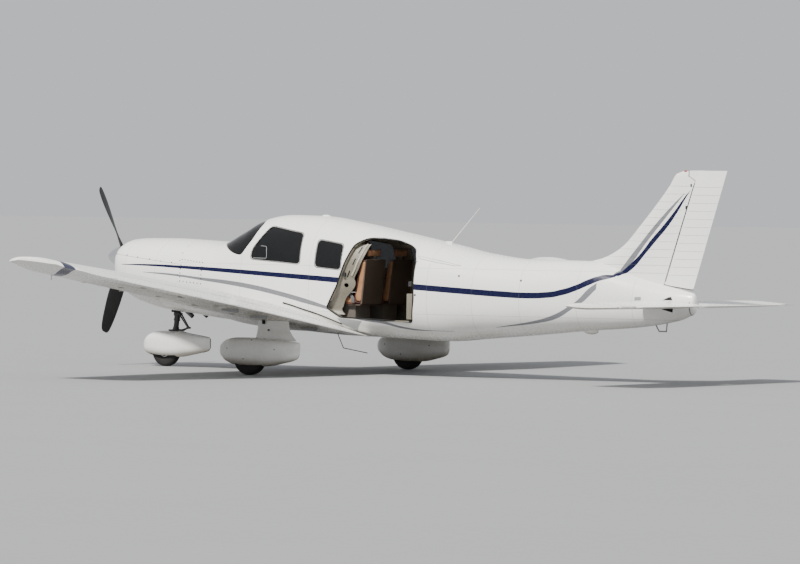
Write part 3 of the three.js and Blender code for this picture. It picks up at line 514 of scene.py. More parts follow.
# station, bottom, top
sweep = [
    (0.91, 1.12, 1.124), (1.25, 1.097, 1.118), (1.48, 1.079, 1.103), (1.78, 1.046, 1.078),
    (2.15, 1.006, 1.053), (2.5, 0.959, 1.014), (2.86, 0.897, 0.952), (3.29, 0.806, 0.86),
    (3.56, 0.75, 0.789), (4.05, 0.626, 0.668), (4.29, 0.6, 0.636), (4.54, 0.55, 0.576),
    (4.79, 0.53, 0.543), (5.18, 0.53, 0.534),
]
sweepBottom = [(station, low) for station, low, high in sweep]
sweepTop = [(station, high) for station, low, high in sweep]
rearTop = [
    (5.7, 0.592), (6.25, 0.694), (6.43, 0.753), (6.59, 0.836), (6.71, 0.917), (6.85, 1.061), (6.93, 1.12),
]
rearBottom = [
    (5.7, 0.588), (6.25, 0.658), (6.43, 0.7), (6.66, 0.825), (6.79, 0.91), (6.94, 1.055), (6.96, 1.07),
]
finNavyFront = [
    (1.2, 7.076), (1.306, 7.212), (1.45, 7.373), (1.62, 7.517), (1.775, 7.662), (1.944, 7.805), (2.11, 7.934),
    (2.17, 7.992),
]
finNavyRear = [
    (1.2, 7.15), (1.294, 7.29), (1.458, 7.443), (1.62, 7.59), (1.75, 7.708), (1.918, 7.832), (2.105, 7.95),
    (2.17, 7.996),
]
finGreyFront = [
    (1.213, 7.08), (1.344, 7.182), (1.566, 7.37), (1.735, 7.515), (1.89, 7.659), (2.033, 7.804),
    (2.137, 7.919),
]
finGreyRear = [
    (1.213, 7.095), (1.339, 7.256), (1.547, 7.423), (1.71, 7.56), (1.852, 7.682), (2.014, 7.819),
    (2.137, 7.926),
]
livery = [
    ("station", "z", sweepBottom, sweepTop, "grey"),
    ("station", "z", rearBottom, rearTop, "grey"),
    ("station", "z", navyBottom, navyTop, "navy"),
]
wingInner = [(2.6, 4.62), (3.04, 5.05), (3.45, 5.36), (3.7, 5.55)]
wingOuter = [(2.6, 4.76), (3.04, 5.18), (3.45, 5.505), (3.7, 5.73)]
wingLivery = [("station", "y", wingInner, wingOuter, "navy")]
finLivery = [
    ("z", "station", finGreyFront, finGreyRear, "grey"),
    ("z", "station", finNavyFront, finNavyRear, "navy"),
]


def speckled(name, colour, second, roughness, scale, bump, metal=0.0, specular=0.5):
    material, tree, shader = newMaterial(name, Metallic=metal, Specular_IOR_Level=specular)
    place = coordinates(tree)[0]
    grain = noise(tree, place, scale, 4)
    broad = noise(tree, place, 4, 2)
    share = maths(tree, "ADD", maths(tree, "MULTIPLY", grain, 0.6), maths(tree, "MULTIPLY", broad, 0.4))
    shade = mixed(tree, ranged(tree, share, 0.35, 0.65, 0, 1), (*colour, 1), (*second, 1))
    linkFinish(tree, shader, shade, grain, roughness * 0.8, roughness * 1.2)
    bumped(tree, shader, grain, bump, 0.001)
    return material


lining = {
    "above": (0.42, 0.38, 0.3, 1), "mottle": (0.35, 0.31, 0.245, 1), "kick": (0.13, 0.115, 0.09, 1),
    "line": (0.03, 0.026, 0.02, 1), "lineWidth": 0.003, "kickTop": 0.84,
    "stations": (2.36, 3.3, 3.86, 4.44, 4.86), "heights": (0.84, 1.1, 1.135, 1.45),
}


# Cabin lining: vinyl above a darker kick panel, with its panel lines.
def liningMaterial(name):
    material, tree, shader = newMaterial(name, Sheen_Weight=0.05)
    place, station, y, z = coordinates(tree)
    grain = noise(tree, place, 300, 4)
    mottle = ranged(tree, noise(tree, place, 3), 0.3, 0.7, 0, 1)
    shade = mixed(tree, mottle, lining["above"], lining["mottle"])
    kick = ranged(tree, z, lining["kickTop"] - 0.002, lining["kickTop"] + 0.002, 1, 0)
    shade = mixed(tree, kick, shade, lining["kick"])
    lines = [
        maths(tree, "LESS_THAN", nearest(tree, axis, lining[key]), lining["lineWidth"])
        for axis, key in ((station, "stations"), (z, "heights"))]
    groove = maths(tree, "MAXIMUM", *lines)
    shade = mixed(tree, maths(tree, "MULTIPLY", groove, 0.7), shade, lining["line"])
    linkFinish(tree, shader, shade, grain, 0.5, 0.74)
    bumped(tree, shader, maths(tree, "SUBTRACT", grain, maths(tree, "MULTIPLY", groove, 2.0)), 0.4, 0.001)
    return material


def leatherMaterial(name, colour, second):
    material, tree, shader = newMaterial(name, Sheen_Weight=0.1)
    place = coordinates(tree)[0]
    cells = node(tree, "TexVoronoi", {"Vector": place, "Scale": 320.0}).outputs[0]
    folds = noise(tree, place, 22, 5)
    shade = mixed(tree, ranged(tree, folds, 0.3, 0.7, 0, 1), (*colour, 1), (*second, 1))
    linkFinish(tree, shader, shade, folds, 0.42, 0.6)
    bumped(tree, shader, maths(tree, "ADD", maths(tree, "MULTIPLY", cells, 0.5), folds), 0.35, 0.0015)
    return material


def glassMaterial(name, colour, roughness=0.03):
    material, tree, shader = newMaterial(name, Transmission_Weight=0.93, IOR=1.45, Specular_IOR_Level=0.15)
    haze = noise(tree, coordinates(tree)[0], 3.5)
    shade = mixed(tree, haze, (*colour, 1), (*[part * 0.8 for part in colour], 1))
    linkFinish(tree, shader, shade, haze, roughness, roughness * 2.5)
    return material


# For each painted part: the axis that its seams cross, where they lie, and the way their rivets run
seams = {
    "fuselage": [
        ("station", (1.76, 2.36, 3.32, 3.93, 4.9, 5.45, 6.02, 6.7, 7.36), "z"),
        ("z", (0.72, 1.245), "station"),
    ],
    "cowl": [("station", (0.62, 1.1), "z")],
    "fin": [("z", [1.241 + 0.0888 * k for k in range(12)], None)],
    "rudder": [("z", [1.224 + 0.0894 * k for k in range(12)], None)],
    "wing": [("y", (1.2, 1.95, 2.7, 3.4, 4.1, 4.75, 5.2), "station"), ("station", (2.72, 3.3), "y")],
    "tail": [("y", (0.34, 0.9, 1.45, 1.8), "station"), ("station", (7.72,), "y")],
    "surface": [("y", (0.95, 1.5, 2.1, 3.1, 3.6, 4.1), "station")],
}
# name, colour, second colour, roughness, scale, bump, metal, specular
finishes = {
    "jamb": ("jambPaint", (0.2, 0.183, 0.14), (0.135, 0.122, 0.095), 0.45, 60, 0.15),
    "pale": ("paleTrim", (0.46, 0.43, 0.34), (0.38, 0.35, 0.28), 0.4, 80, 0.1),
    "shell": ("seatShell", (0.075, 0.05, 0.035), (0.05, 0.035, 0.025), 0.55, 260, 0.3),
    "plate": ("greyPlate", (0.3, 0.31, 0.32), (0.24, 0.25, 0.26), 0.5, 90, 0.1),
    "carpet": ("cabinCarpet", (0.16, 0.14, 0.12), (0.08, 0.07, 0.06), 0.95, 900, 0.9),
    "rubber": ("sealRubber", (0.006, 0.006, 0.006), (0.013, 0.013, 0.013), 0.6, 400, 0.3, 0.0, 0.25),
    "tyre": ("tyreRubber", (0.01, 0.01, 0.01), (0.028, 0.027, 0.025), 0.8, 90, 0.5, 0.0, 0.3),
    "gear": ("gearPaint", (0.025, 0.026, 0.028), (0.05, 0.05, 0.05), 0.38, 120, 0.2, 0.4),
    "steel": ("brushedSteel", (0.55, 0.55, 0.56), (0.4, 0.4, 0.42), 0.25, 160, 0.1, 1.0),
    "chrome": ("polishedMetal", (0.8, 0.81, 0.82), (0.7, 0.71, 0.73), 0.1, 80, 0.04, 1.0),
    "blade": ("bladePaint", (0.006, 0.006, 0.007), (0.014, 0.014, 0.014), 0.42, 70, 0.12, 0.0, 0.3),
    "cast": ("castMetal", (0.2, 0.2, 0.21), (0.11, 0.11, 0.11), 0.6, 150, 0.6, 0.7),
    "panel": ("panelPlastic", (0.045, 0.046, 0.05), (0.03, 0.03, 0.033), 0.6, 500, 0.4),
    "dial": ("dialFace", (0.006, 0.006, 0.007), (0.012, 0.012, 0.014), 0.15, 50, 0.02),
    "strap": ("strapWeb", (0.05, 0.05, 0.055), (0.09, 0.09, 0.1), 0.8, 1500, 0.8),
}


def makeMaterials():
    made = {
        # shaded sets how strongly each part's downward faces take the painted shade
        "livery": paintMaterial("liveryPaint", seams["fuselage"], livery + finLivery, 0.13, shaded=0.2),
        "cowl": paintMaterial("cowlPaint", seams["cowl"], livery, 0.16, rivets=False, shaded=0.25),
        "fin": paintMaterial("finPaint", seams["fin"], finLivery, 0.1),
        "wing": paintMaterial("wingPaint", seams["wing"], wingLivery, 0.33),
        "tail": paintMaterial("tailPaint", seams["tail"], grime=0.12),
        "rudder": paintMaterial("rudderPaint", seams["rudder"], grime=0.1),
        "surface": paintMaterial("controlPaint", seams["surface"]),
        "plain": paintMaterial("fibrePaint", (), grime=0.3),
        "vinyl": liningMaterial("cabinVinyl"),
        "tan": leatherMaterial("tanLeather", (0.34, 0.165, 0.075), (0.25, 0.115, 0.05)),
        "redBrown": leatherMaterial("redBrownLeather", (0.17, 0.045, 0.03), (0.1, 0.03, 0.02)),
        "glass": glassMaterial("tintedWindow", (0.06, 0.064, 0.068)),
        "red": glassMaterial("lensRed", (0.75, 0.02, 0.015), 0.08),
        "green": glassMaterial("lensGreen", (0.02, 0.55, 0.12), 0.08),
    }
    for key, row in finishes.items():
        made[key] = speckled(*row)
    return made


print("materials")
look = makeMaterials()

# Fuselage skin
fuselage = {
    "ringPoints": 96,
    "step": 0.06,
    # station, top, bottom, half width, widest height, power above, power below
    "sections": [
        (0.34, 1.425, 1.000, 0.33, 1.22, 2.3, 2.3), (0.4, 1.47, 0.9, 0.42, 1.2, 2.4, 2.4),
        (0.5, 1.508, 0.825, 0.48, 1.18, 2.4, 2.5), (0.65, 1.519, 0.765, 0.525, 1.15, 2.4, 2.6),
        (1.01, 1.523, 0.68, 0.575, 1.1, 2.5, 2.8), (1.46, 1.508, 0.632, 0.606, 1.045, 2.5, 3.0),
        (1.8, 1.496, 0.594, 0.628, 1.01, 2.5, 3.2), (1.86, 1.503, 0.588, 0.632, 1.000, 2.5, 3.2),
        (2.2, 1.665, 0.56, 0.642, 0.97, 2.6, 3.4), (2.4, 1.771, 0.54, 0.645, 0.95, 2.6, 3.5),
        (2.7, 1.823, 0.505, 0.648, 0.95, 2.6, 3.5), (3.1, 1.817, 0.47, 0.648, 0.95, 2.6, 3.5),
        (3.6, 1.751, 0.44, 0.646, 0.95, 2.6, 3.4), (4.15, 1.654, 0.428, 0.635, 0.95, 2.6, 3.2),
        (4.9, 1.514, 0.408, 0.596, 0.95, 2.5, 3.0), (5.37, 1.423, 0.447, 0.53, 0.95, 2.4, 2.7),
        (5.97, 1.364, 0.499, 0.43, 0.94, 2.3, 2.5), (6.71, 1.362, 0.572, 0.3, 0.92, 2.2, 2.4),
        (7.36, 1.19, 0.628, 0.19, 0.92, 2.1, 2.3), (7.87, 1.07, 0.716, 0.115, 0.9, 2.0, 2.2),
        (8.07, 1.02, 0.8, 0.06, 0.9, 2.0, 2.0),
    ],
    "seam": 0.0004, "firewall": 1.46, "cabinStart": 1.8, "cabinEnd": 4.9,
    "cowlWall": 0.02, "cabinWall": 0.045, "roofEdge": 0.36, "running": 0.007,
}
sectionAt = smoothTable(fuselage["sections"])


def skinRing(station, depth=0.0):
    top, bottom, width, widest, above, below = sectionAt(station)
    width -= depth
    ring = []
    for k in range(fuselage["ringPoints"]):
        angle = 2 * math.pi * k / fuselage["ringPoints"]
        across, up = math.sin(angle), math.cos(angle)
        power = above if up >= 0 else below
        reach = (top - widest if up >= 0 else widest - bottom) - depth
        size = ((abs(across) / width) ** power + (abs(up) / reach) ** power) ** (-1 / power)
        ring.append(at(station, across * size, widest + up * size))
    return ring


# The half width, widest height, reach and power of the skin's curve on the side where a height lies.
def skinCurve(station, z):
    top, bottom, width, widest, above, below = sectionAt(station)
    return (width, widest, top - widest, above) if z >= widest else (width, widest, widest - bottom, below)


# How far a point lies from the middle, where one is on the skin.
def skinShare(station, y, z):
    width, widest, reach, power = skinCurve(station, z)
    return ((abs(y) / width) ** power + (abs(z - widest) / reach) ** power) ** (1 / power)


def skinY(station, z, depth=0.0):
    width, widest, reach, power = skinCurve(station, z)
    share = min(abs(z - widest) / (reach - depth), 0.999)
    return (width - depth) * (1 - share ** power) ** (1 / power)


def skinNormal(station, y, z):
    step = 0.004
    slopes = [
        skinShare(station + step, y, z) - skinShare(station - step, y, z),
        skinShare(station, y + step, z) - skinShare(station, y - step, z),
        skinShare(station, y, z + step) - skinShare(station, y, z - step),
    ]
    return Vector(slopes).normalized()


def onSkin(station, z, side, lift=0.0):
    y = side * skinY(station, z)
    return at(station, y, z) + skinNormal(station, y, z) * lift


def stationsOf(start, end, step=fuselage["step"]):
    count = max(1, round((end - start) / step))
    return [start + (end - start) * k / count for k in range(count + 1)]


def hollowSkin(name, start, end, outside, inside, step=fuselage["step"]):
    stations = stationsOf(start, end, step)
    outer = [skinRing(station, outside) for station in stations]
    inner = [skinRing(station, inside) for station in reversed(stations)]
    return loft(name, outer + inner, around=True)


def solidSkin(name, start, end, depth=0.0):
    return loft(name, [skinRing(station, depth) for station in stationsOf(start, end)])


# Gives the faces that lie inside the wall their own material.
def lineInside(piece, outer="livery", inner="vinyl", share=0.985, end=9.0):
    piece.data.materials.clear()
    for key in (outer, inner):
        piece.data.materials.append(look[key])
    for face in piece.data.polygons:
        centre = face.center
        if centre.x - noseX < end and skinShare(centre.x - noseX, centre.y, centre.z) < share:
            face.material_index = 1


# The path that an outline takes over the skin.
def skinPath(corners, side, radius, lift=0.0, step=0.04):
    outline = rounded(corners, radius)
    path = []
    for k, point in enumerate(outline):
        after = outline[(k + 1) % len(outline)]
        parts = max(1, round((after - point).length / step))
        path.extend(point.lerp(after, part / parts) for part in range(parts))
    return [onSkin(p.x, p.y, side, lift) for p in path]


outlines = {
    "windshield": [
        (1.79, 1.52), (1.98, 1.482), (2.067, 1.437), (2.12, 1.409), (2.195, 1.375), (2.263, 1.356),
        (2.34, 1.346), (2.457, 1.537), (2.5, 1.678), (2.53, 2.0), (1.79, 2.0),
    ],
    "windshieldPlan": [(1.7, 0.018), (2.395, 0.018), (2.5, 0.36), (2.7, 0.9), (1.7, 0.9)],
    "frontWindow": [(2.485, 1.308), (2.495, 1.425), (2.662, 1.692), (3.152, 1.612), (3.18, 1.261)],
    "secondWindow": [(3.393, 1.233), (3.38, 1.548), (3.729, 1.494), (3.745, 1.205)],
    "thirdWindow": [(3.97, 1.188), (3.96, 1.47), (4.37, 1.408), (4.388, 1.158)],
    "rearWindow": [(4.52, 1.178), (4.512, 1.388), (4.69, 1.34), (4.752, 1.166)],
    "rearDoorway": [
        (3.574, 0.767), (3.746, 0.662), (4.076, 0.653), (4.691, 0.628), (4.727, 0.88), (4.713, 1.312),
        (4.644, 1.447), (4.563, 1.492), (4.378, 1.546), (4.192, 1.566), (4.013, 1.568), (3.934, 1.538),
        (3.87, 1.491), (3.796, 1.294), (3.713, 1.029),
    ],
    "frontDoorway": [
        (2.416, 0.922), (2.412, 1.387), (2.58, 1.731), (3.204, 1.662), (3.252, 1.594), (3.258, 0.922),
    ],
    "frontDoor": [(2.424, 0.93), (2.42, 1.385), (2.588, 1.716), (3.176, 1.646), (3.226, 1.58), (3.248, 0.93)],
    "belly": [(1.79, 0.0), (1.79, 0.69), (2.7, 0.6), (4.91, 0.6), (4.91, 0.0)],
    "bayDoor": [(1.512, 0.9), (1.507, 1.304), (1.762, 1.304), (1.762, 0.88)],
}
corner = {"window": 0.045, "door": 0.03, "windshield": 0.035}


def windshieldCutter(side, shrink=0.0):
    outline = grown(outlines["windshield"], -shrink)
    plan = [(x, side * y) for x, y in grown(outlines["windshieldPlan"], -shrink)]
    cutter = prism("windshieldCutter", outline, -1.5, 1.5, corner["windshield"])
    return cut(cutter, prism("planCutter", plan, 1.0, 2.5, plan=True), "INTERSECT")


# A rubber seal that follows an outline over the skin.
def skinSeal(name, key, side, radius, thickness, lift, grow, body="airframe"):
    path = skinPath(grown(outlines[key], grow), side, radius, lift)
    return finishPiece(tubes(name, [path], thickness, closed=True), "rubber", "black_plastic", body=body)


# The point and the direction outwards of a small fitting on the skin.
def skinSpot(station, z, side):
    y = side * skinY(station, z)
    return at(station, y, z), skinNormal(station, y, z)


cowl = {
    "start": 0.34, "split": (0.407, 1.331), "slope": -0.1009, "gap": 0.0032,
    "hub": {"z": 1.29, "radius": 0.105},
    "inlet": {
        "x": 0.3, "y": 0.215, "z": 1.27, "half": 0.062, "stretch": 1.55, "lipX": 0.333, "lipReach": 0.096,
    },
    "fasteners": [
        (0.42, 1.329), (0.627, 1.317), (0.806, 1.297), (0.993, 1.277), (1.162, 1.256), (1.332, 1.243),
    ],
    # the firewall's row of fasteners: station, lowest height, spacing, how many
    "rearRow": (1.443, 0.76, 0.085, 9),
    # rows of a panel's screws: first, last, how many
    "panel": [
        ((1.475, 1.281), (1.783, 1.25), 8), ((1.478, 1.215), (1.478, 1.075), 4),
        ((1.79, 1.2), (1.79, 1.06), 4), ((1.478, 1.028), (1.79, 1.002), 7),
    ],
}


def cowlRings(start, end):
    hub, count = cowl["hub"], fuselage["ringPoints"]
    stations = stationsOf(start, end, 0.05)
    rings = [skinRing(station) for station in reversed(stations)]
    middle = at(start, 0, 1.2)
    for ahead, size in ((0.004, 0.975), (0.008, 0.93)):
        rings.append([middle + (point - middle) * size - Vector((ahead, 0, 0)) for point in skinRing(start)])
    angles = [2 * math.pi * k / count for k in range(count)]
    for station in (start - 0.008, start + 0.02):
        rings.append([
            at(station, math.sin(a) * hub["radius"], hub["z"] + math.cos(a) * hub["radius"]) for a in angles])
    return rings + [skinRing(max(station, start + 0.022), fuselage["cowlWall"]) for station in stations]


def buildCowl():
    inlet = cowl["inlet"]
    shell = loft("cowl", cowlRings(cowl["start"], fuselage["firewall"] - fuselage["seam"]), around=True)
    for side in (-1, 1):
        y, z = side * inlet["y"], inlet["z"]
        hole = rod("inletCutter", (0.2, y, z), (0.45, y, z), inlet["half"], sides=48)
        editAll(hole)
        bpy.ops.transform.resize(
            value=(1, inlet["stretch"], 1), center_override=at(inlet["x"], y, z), orient_type="GLOBAL")
        endEdit()
        cut(shell, hole)
    cut(shell, block("slotCutter", (0.28, -0.12, 1.05), (0.4, 0.12, 1.11), 0.02))
    cut(shell, rod("legCutter", (1.011, 0, 0.5), (1.057, 0, 0.9), 0.075, sides=40))
    cut(shell, block("outletCutter", (1.25, -0.21, 0.45), (1.6, 0.21, 0.75), 0.02))
    (x, z), slope = cowl["split"], cowl["slope"]
    upper = copyOf(shell, "cowlTop")
    keepSide(upper, at(x, 0, z), Vector((-slope, 0, 1)))
    keepSide(shell, at(x, 0, z - cowl["gap"]), Vector((slope, 0, -1)))
    shell.name = "cowlBottom"
    for piece, solid in ((upper, "cowl_upper"), (shell, "cowl_lower")):
        lineInside(piece, "cowl", "cast", 0.98)
        finishPiece(piece, None, "white_paint", solid)
    rearX, low, step, count = cowl["rearRow"]
    spots = [skinSpot(x, z, side) for side in (-1, 1) for x, z in cowl["fasteners"]]
    spots += [skinSpot(rearX, low + k * step, side) for k in range(count) for side in (-1, 1)]
    for first, last, count in cowl["panel"]:
        row = [Vector(first).lerp(Vector(last), k / (count - 1)) for k in range(count)]
        spots += [skinSpot(point.x, point.y, -1) for point in row]
    finishPiece(heads("cowlFasteners", spots, 0.0085, 0.0016, 12), "gear", "polished")
    lips = [
        [
            at(inlet["lipX"], side * inlet["y"] + inlet["lipReach"] * math.cos(a),
               inlet["z"] + inlet["half"] * math.sin(a))
            for a in (2 * math.pi * k / 40 for k in range(40))
        ]
        for side in (-1, 1)
    ]
    finishPiece(tubes("inletLips", lips, 0.007, closed=True), "plain", "white_paint")
    baffle = block("inletBaffle", (0.47, -0.34, 1.12), (0.478, 0.34, 1.42), 0.004)
    finishPiece(baffle, "panel", "black_plastic")


def buildNoseBay():
    start, end = fuselage["firewall"], fuselage["cabinStart"] - fuselage["seam"]
    bay = hollowSkin("noseBay", start, end, 0.0, fuselage["cabinWall"], 0.05)
    space = prism("bayCutter", grown(outlines["bayDoor"], fuselage["running"] * 0.7), 0.3, 1.5, 0.02)
    cut(bay, space)
    walls = [
        loft("bayWall", [skinRing(station, 0.044) for station in pair])
        for pair in ((start + 0.002, start + 0.012), (end - 0.012, end - 0.002))
    ]
    lineInside(bay)
    finishPiece(bay, None, "white_skin", "nose_bay")
    finishPiece(joinAll("bayWalls", walls), "vinyl", "white_skin")
    door = hollowSkin("bayDoor", start + 0.01, end - 0.01, 0.0, 0.03, 0.05)
    cut(door, prism("doorCutter", outlines["bayDoor"], 0.3, 1.5, 0.016), "INTERSECT")
    lineInside(door)
    finishPiece(door, None, "white_skin", "nose_bay_door", "nose_bay_door")
    latch = [onSkin(1.635, 0.93, 1, 0.002), skinSpot(1.635, 0.93, 1)[1]]
    finishPiece(heads("bayLatch", [latch], 0.016, 0.004, 24), "steel", "polished", body="nose_bay_door")


glazing = {
    "outside": 0.008, "inside": 0.014, "gap": 0.0004,
    # opening, side, solid, body
    "panes": [
        ("frontWindow", "Left", "window_front_left", "airframe"),
        ("frontWindow", "Right", "front_door_window", "front_door"),
        ("secondWindow", "Left", "window_second_left", "airframe"),
        ("secondWindow", "Right", "window_second_right", "airframe"),
        ("thirdWindow", "Right", "window_third_right", "airframe"),
        ("rearWindow", "Right", "window_rear_right", "airframe"),
    ],
    # seal, opening, side, corner radius, thickness, lift off the skin, growth of the outline
    "seals": [
        ("rearDoorwaySeal", "rearDoorway", -1, corner["door"], 0.0085, -0.003, -0.004),
        ("frontDoorSeal", "frontDoorway", 1, corner["door"], 0.0045, -0.006, -0.004),
        ("bayDoorSeal", "bayDoor", 1, 0.016, 0.003, -0.006, 0.003),
    ],
}


def buildCabin():
    start, end = fuselage["cabinStart"], fuselage["cabinEnd"] - fuselage["seam"]
    cabin = hollowSkin("cabin", start, end, 0.0, fuselage["cabinWall"], 0.05)
    near, far = 0.25, 1.5
    for side in (-1, 1):
        cut(cabin, windshieldCutter(side))
    for key, name, solid, body in glazing["panes"]:
        if body == "airframe":
            side = sides[name]
            cut(cabin, prism(key, outlines[key], side * near, side * far, corner["window"]))
    cut(cabin, prism("rearDoorCutter", outlines["rearDoorway"], -0.15, -1.5, corner["door"]))
    cut(cabin, prism("frontDoorCutter", outlines["frontDoorway"], 0.25, 1.5, corner["door"]))
    lineInside(cabin)
    edge, gap = fuselage["roofEdge"], fuselage["seam"]
    up, left, right = Vector((0, 0, 1)), Vector((0, -1, 0)), Vector((0, 1, 0))
    splits = {
        "cabinRoof": ("cabin_roof", [(at(3, 0, 1.0), up), (at(3, edge, 0), left), (at(3, -edge, 0), right)]),
        "cabinRight": ("cabin_side_right", [(at(3, edge + gap, 0), right)]),
        "cabinLeft": ("cabin_side_left", [(at(3, -edge - gap, 0), left)]),
        "cabinBelly": ("cabin_belly", []),
    }
    for name, (nodeName, planes) in splits.items():
        panel = copyOf(cabin, name)
        for point, normal in planes:
            keepSide(panel, point, normal)
        if name == "cabinBelly":
            cut(panel, prism("bellyCutter", outlines["belly"], -1.5, 1.5), "INTERSECT")
        elif name != "cabinRoof":
            cut(panel, prism("bellyCutter", grown(outlines["belly"], gap), -1.5, 1.5))
        finishPiece(panel, None, "white_skin", nodeName)
    bpy.data.objects.remove(cabin)


frontDoor = {"start": 2.38, "end": 3.28, "handle": ((3.1, 0.652, 1.045), (3.2, 0.662, 1.075))}


def buildFrontDoor():
    door = hollowSkin("frontDoor", frontDoor["start"], frontDoor["end"], 0.0, fuselage["cabinWall"], 0.05)
    cut(door, prism("doorCutter", outlines["frontDoor"], 0.25, 1.5, corner["door"]), "INTERSECT")
    cut(door, prism("doorWindowCutter", outlines["frontWindow"], 0.25, 1.5, corner["window"]))
    lineInside(door)
    finishPiece(door, None, "white_skin", "front_door", "front_door")
    finishPiece(block("doorHandle", *frontDoor["handle"], 0.004), "steel", "polished", body="front_door")


def buildGlass():
    def pane(name, cutter, low, high, solid, body="airframe"):
        sheet = hollowSkin(name, low, high, glazing["outside"], glazing["inside"], 0.04)
        cut(sheet, cutter, "INTERSECT")
        finishPiece(sheet, "glass", "window_plastic", solid, body)

    gap = glazing["gap"]
    for name, side in sides.items():
        pane(f"windshield{name}", windshieldCutter(side, gap), 1.81, 2.8, f"windshield_{name.lower()}")
    for key, name, solid, body in glazing["panes"]:
        outline, side = outlines[key], sides[name]
        cutter = prism("paneCutter", grown(outline, -gap), side * 0.25, side * 1.5, corner["window"])
        low, high = min(x for x, z in outline), max(x for x, z in outline)
        pane(f"{key}{name}", cutter, low - 0.03, high + 0.03, solid, body)
        skinSeal(f"{key}Seal{name}", key, side, corner["window"], 0.0075, -0.006, -0.006, body)
    for row in glazing["seals"]:
        skinSeal(*row)


def buildTailCone():
    start, end = fuselage["cabinEnd"], 8.043
    stations = stationsOf(start, end - 0.001)
    inner = [skinRing(start + 0.03, 0.045), skinRing(start, 0.045)]
    last, middle = skinRing(end), at(end, 0, 0.9)
    cap = [
        [middle + (point - middle) * size + Vector((back, 0, 0)) for point in last]
        for back, size in ((0.008, 0.96), (0.016, 0.88), (0.023, 0.74), (0.028, 0.52), (0.031, 0.25))
    ]
    cone = loft("tailCone", inner + [skinRing(station) for station in stations] + cap)
    slot = prism("tubeCutter", [(7.7, 0.86), (7.7, 0.93), (7.85, 0.93), (7.85, 0.86)], -0.3, 0.3, 0.02)
    cut(cone, slot)
    lineInside(cone, share=0.96, end=start + 0.04)
    finishPiece(cone, None, "white_paint", "tail_cone")


print("fuselage")
buildCowl()
buildNoseBay()
buildCabin()
buildFrontDoor()
buildGlass()
buildTailCone()

# Tail surfaces
tail = {
    "hingeX": 7.696, "hingeZ": 1.106, "hingeSlope": 364 / 1169,
    "trailX": 8.037, "trailZ": 1.067, "trailSlope": 409 / 1330,
    # height, leading edge's station, half thickness
    "fin": [
        (1.000, 6.72, 0.05), (1.366, 6.72, 0.048), (1.385, 6.83, 0.048), (1.444, 6.98, 0.047),
        (1.548, 7.14, 0.046), (1.764, 7.34, 0.042), (2.058, 7.59, 0.034), (2.227, 7.72, 0.028),
        (2.351, 7.8, 0.022), (2.384, 7.89, 0.014),
    ],
    # share of the chord, share of the half thickness
    "finShape": [(0, 0), (0.01, 0.25), (0.03, 0.42), (0.1, 0.72), (0.3, 1), (0.6, 0.95), (1, 0.72)],
    "noseShare": 0.72, "finBase": 1.0, "finHeight": 1.384, "finRows": 46, "rudderGap": 0.007,
}
finAt = smoothTable(tail["fin"])
finShapeAt = smoothTable(tail["finShape"])


def hingeX(z):
    return tail["hingeX"] + (z - tail["hingeZ"]) * tail["hingeSlope"]


def trailX(z):
    return tail["trailX"] + (z - tail["trailZ"]) * tail["trailSlope"]


def rudderLoft(name, grow=0.0):
    rings = []
    for z in (1.0, 1.366, 1.764, 2.058, 2.227, 2.39):
        radius = finAt(z)[1] * tail["noseShare"] + grow
        ring = []
        for k in range(13):
            angle = math.pi / 2 + math.pi * k / 12
            ring.append(at(hingeX(z) + radius * math.cos(angle), radius * math.sin(angle), z))
        half = radius if grow else 0.003
        end = trailX(z) + (0.06 if grow else 0)
        ring.extend([at(end, -half, z), at(end, half, z)])
        rings.append(ring)
    return loft(name, rings)


def buildFin():
    rings = []
    for k in range(tail["finRows"] + 1):
        z = tail["finBase"] + tail["finHeight"] * k / tail["finRows"]
        lead, half = finAt(z)
        chord = hingeX(z) - lead
        rings.append(foilRing(
            eased(14, math.pi / 2), lambda s, sign: at(lead + s * chord, sign * finShapeAt(s)[0] * half, z)))
    fin = loft("fin", rings)
    horn = [(7.96, 2.7), (7.96, 2.32), (8.052, 2.263), (8.2, 2.263), (8.2, 2.7)]
    foot = [(6.6, 0.9), (8.3, 0.9), (8.3, 1.011), (6.6, 1.211)]
    cut(fin, rudderLoft("rudderSpace", tail["rudderGap"]))
    cut(fin, prism("hornSpace", horn, -0.2, 0.2))
    cut(fin, prism("belowRudder", foot, -0.2, 0.2))
    cut(fin, solidSkin("coneSpace", 6.5, 8.0, 0.002))
    finishPiece(fin, "fin", "white_paint", "fin")


def buildRudder():
    rudder = rudderLoft("rudder")
    bottom = [(7.6, 0.9), (8.2, 0.9), (8.2, 1.046), (7.765, 1.103), (7.6, 1.142)]
    top = [(7.6, 2.383), (8.6, 2.4), (8.6, 2.7), (7.6, 2.7)]
    cut(rudder, prism("bottomCutter", bottom, -0.2, 0.2))
    horn = [(7.97, 2.392), (7.97, 2.33), (8.06, 2.275), (8.16, 2.275), (8.16, 2.392)]
    cut(rudder, prism("horn", horn, -0.009, 0.009), "UNION")
    cut(rudder, prism("topCutter", top, -0.2, 0.2))
    finishPiece(rudder, "rudder", "white_paint", "rudder", "rudder")


# Pressed beads that stand out of both sides of the fin and the rudder
beads = {"count": 12, "sink": 0.0012, "radius": 0.0035, "fin": (1.241, 0.0888), "rudder": (1.224, 0.0894)}


def finSideY(x, z):
    lead, half = finAt(z)
    return finShapeAt((x - lead) / (hingeX(z) - lead))[0] * half


def rudderSideY(x, z):
    radius = finAt(z)[1] * tail["noseShare"]
    return radius + (0.003 - radius) * (x - hingeX(z)) / (trailX(z) - hingeX(z))


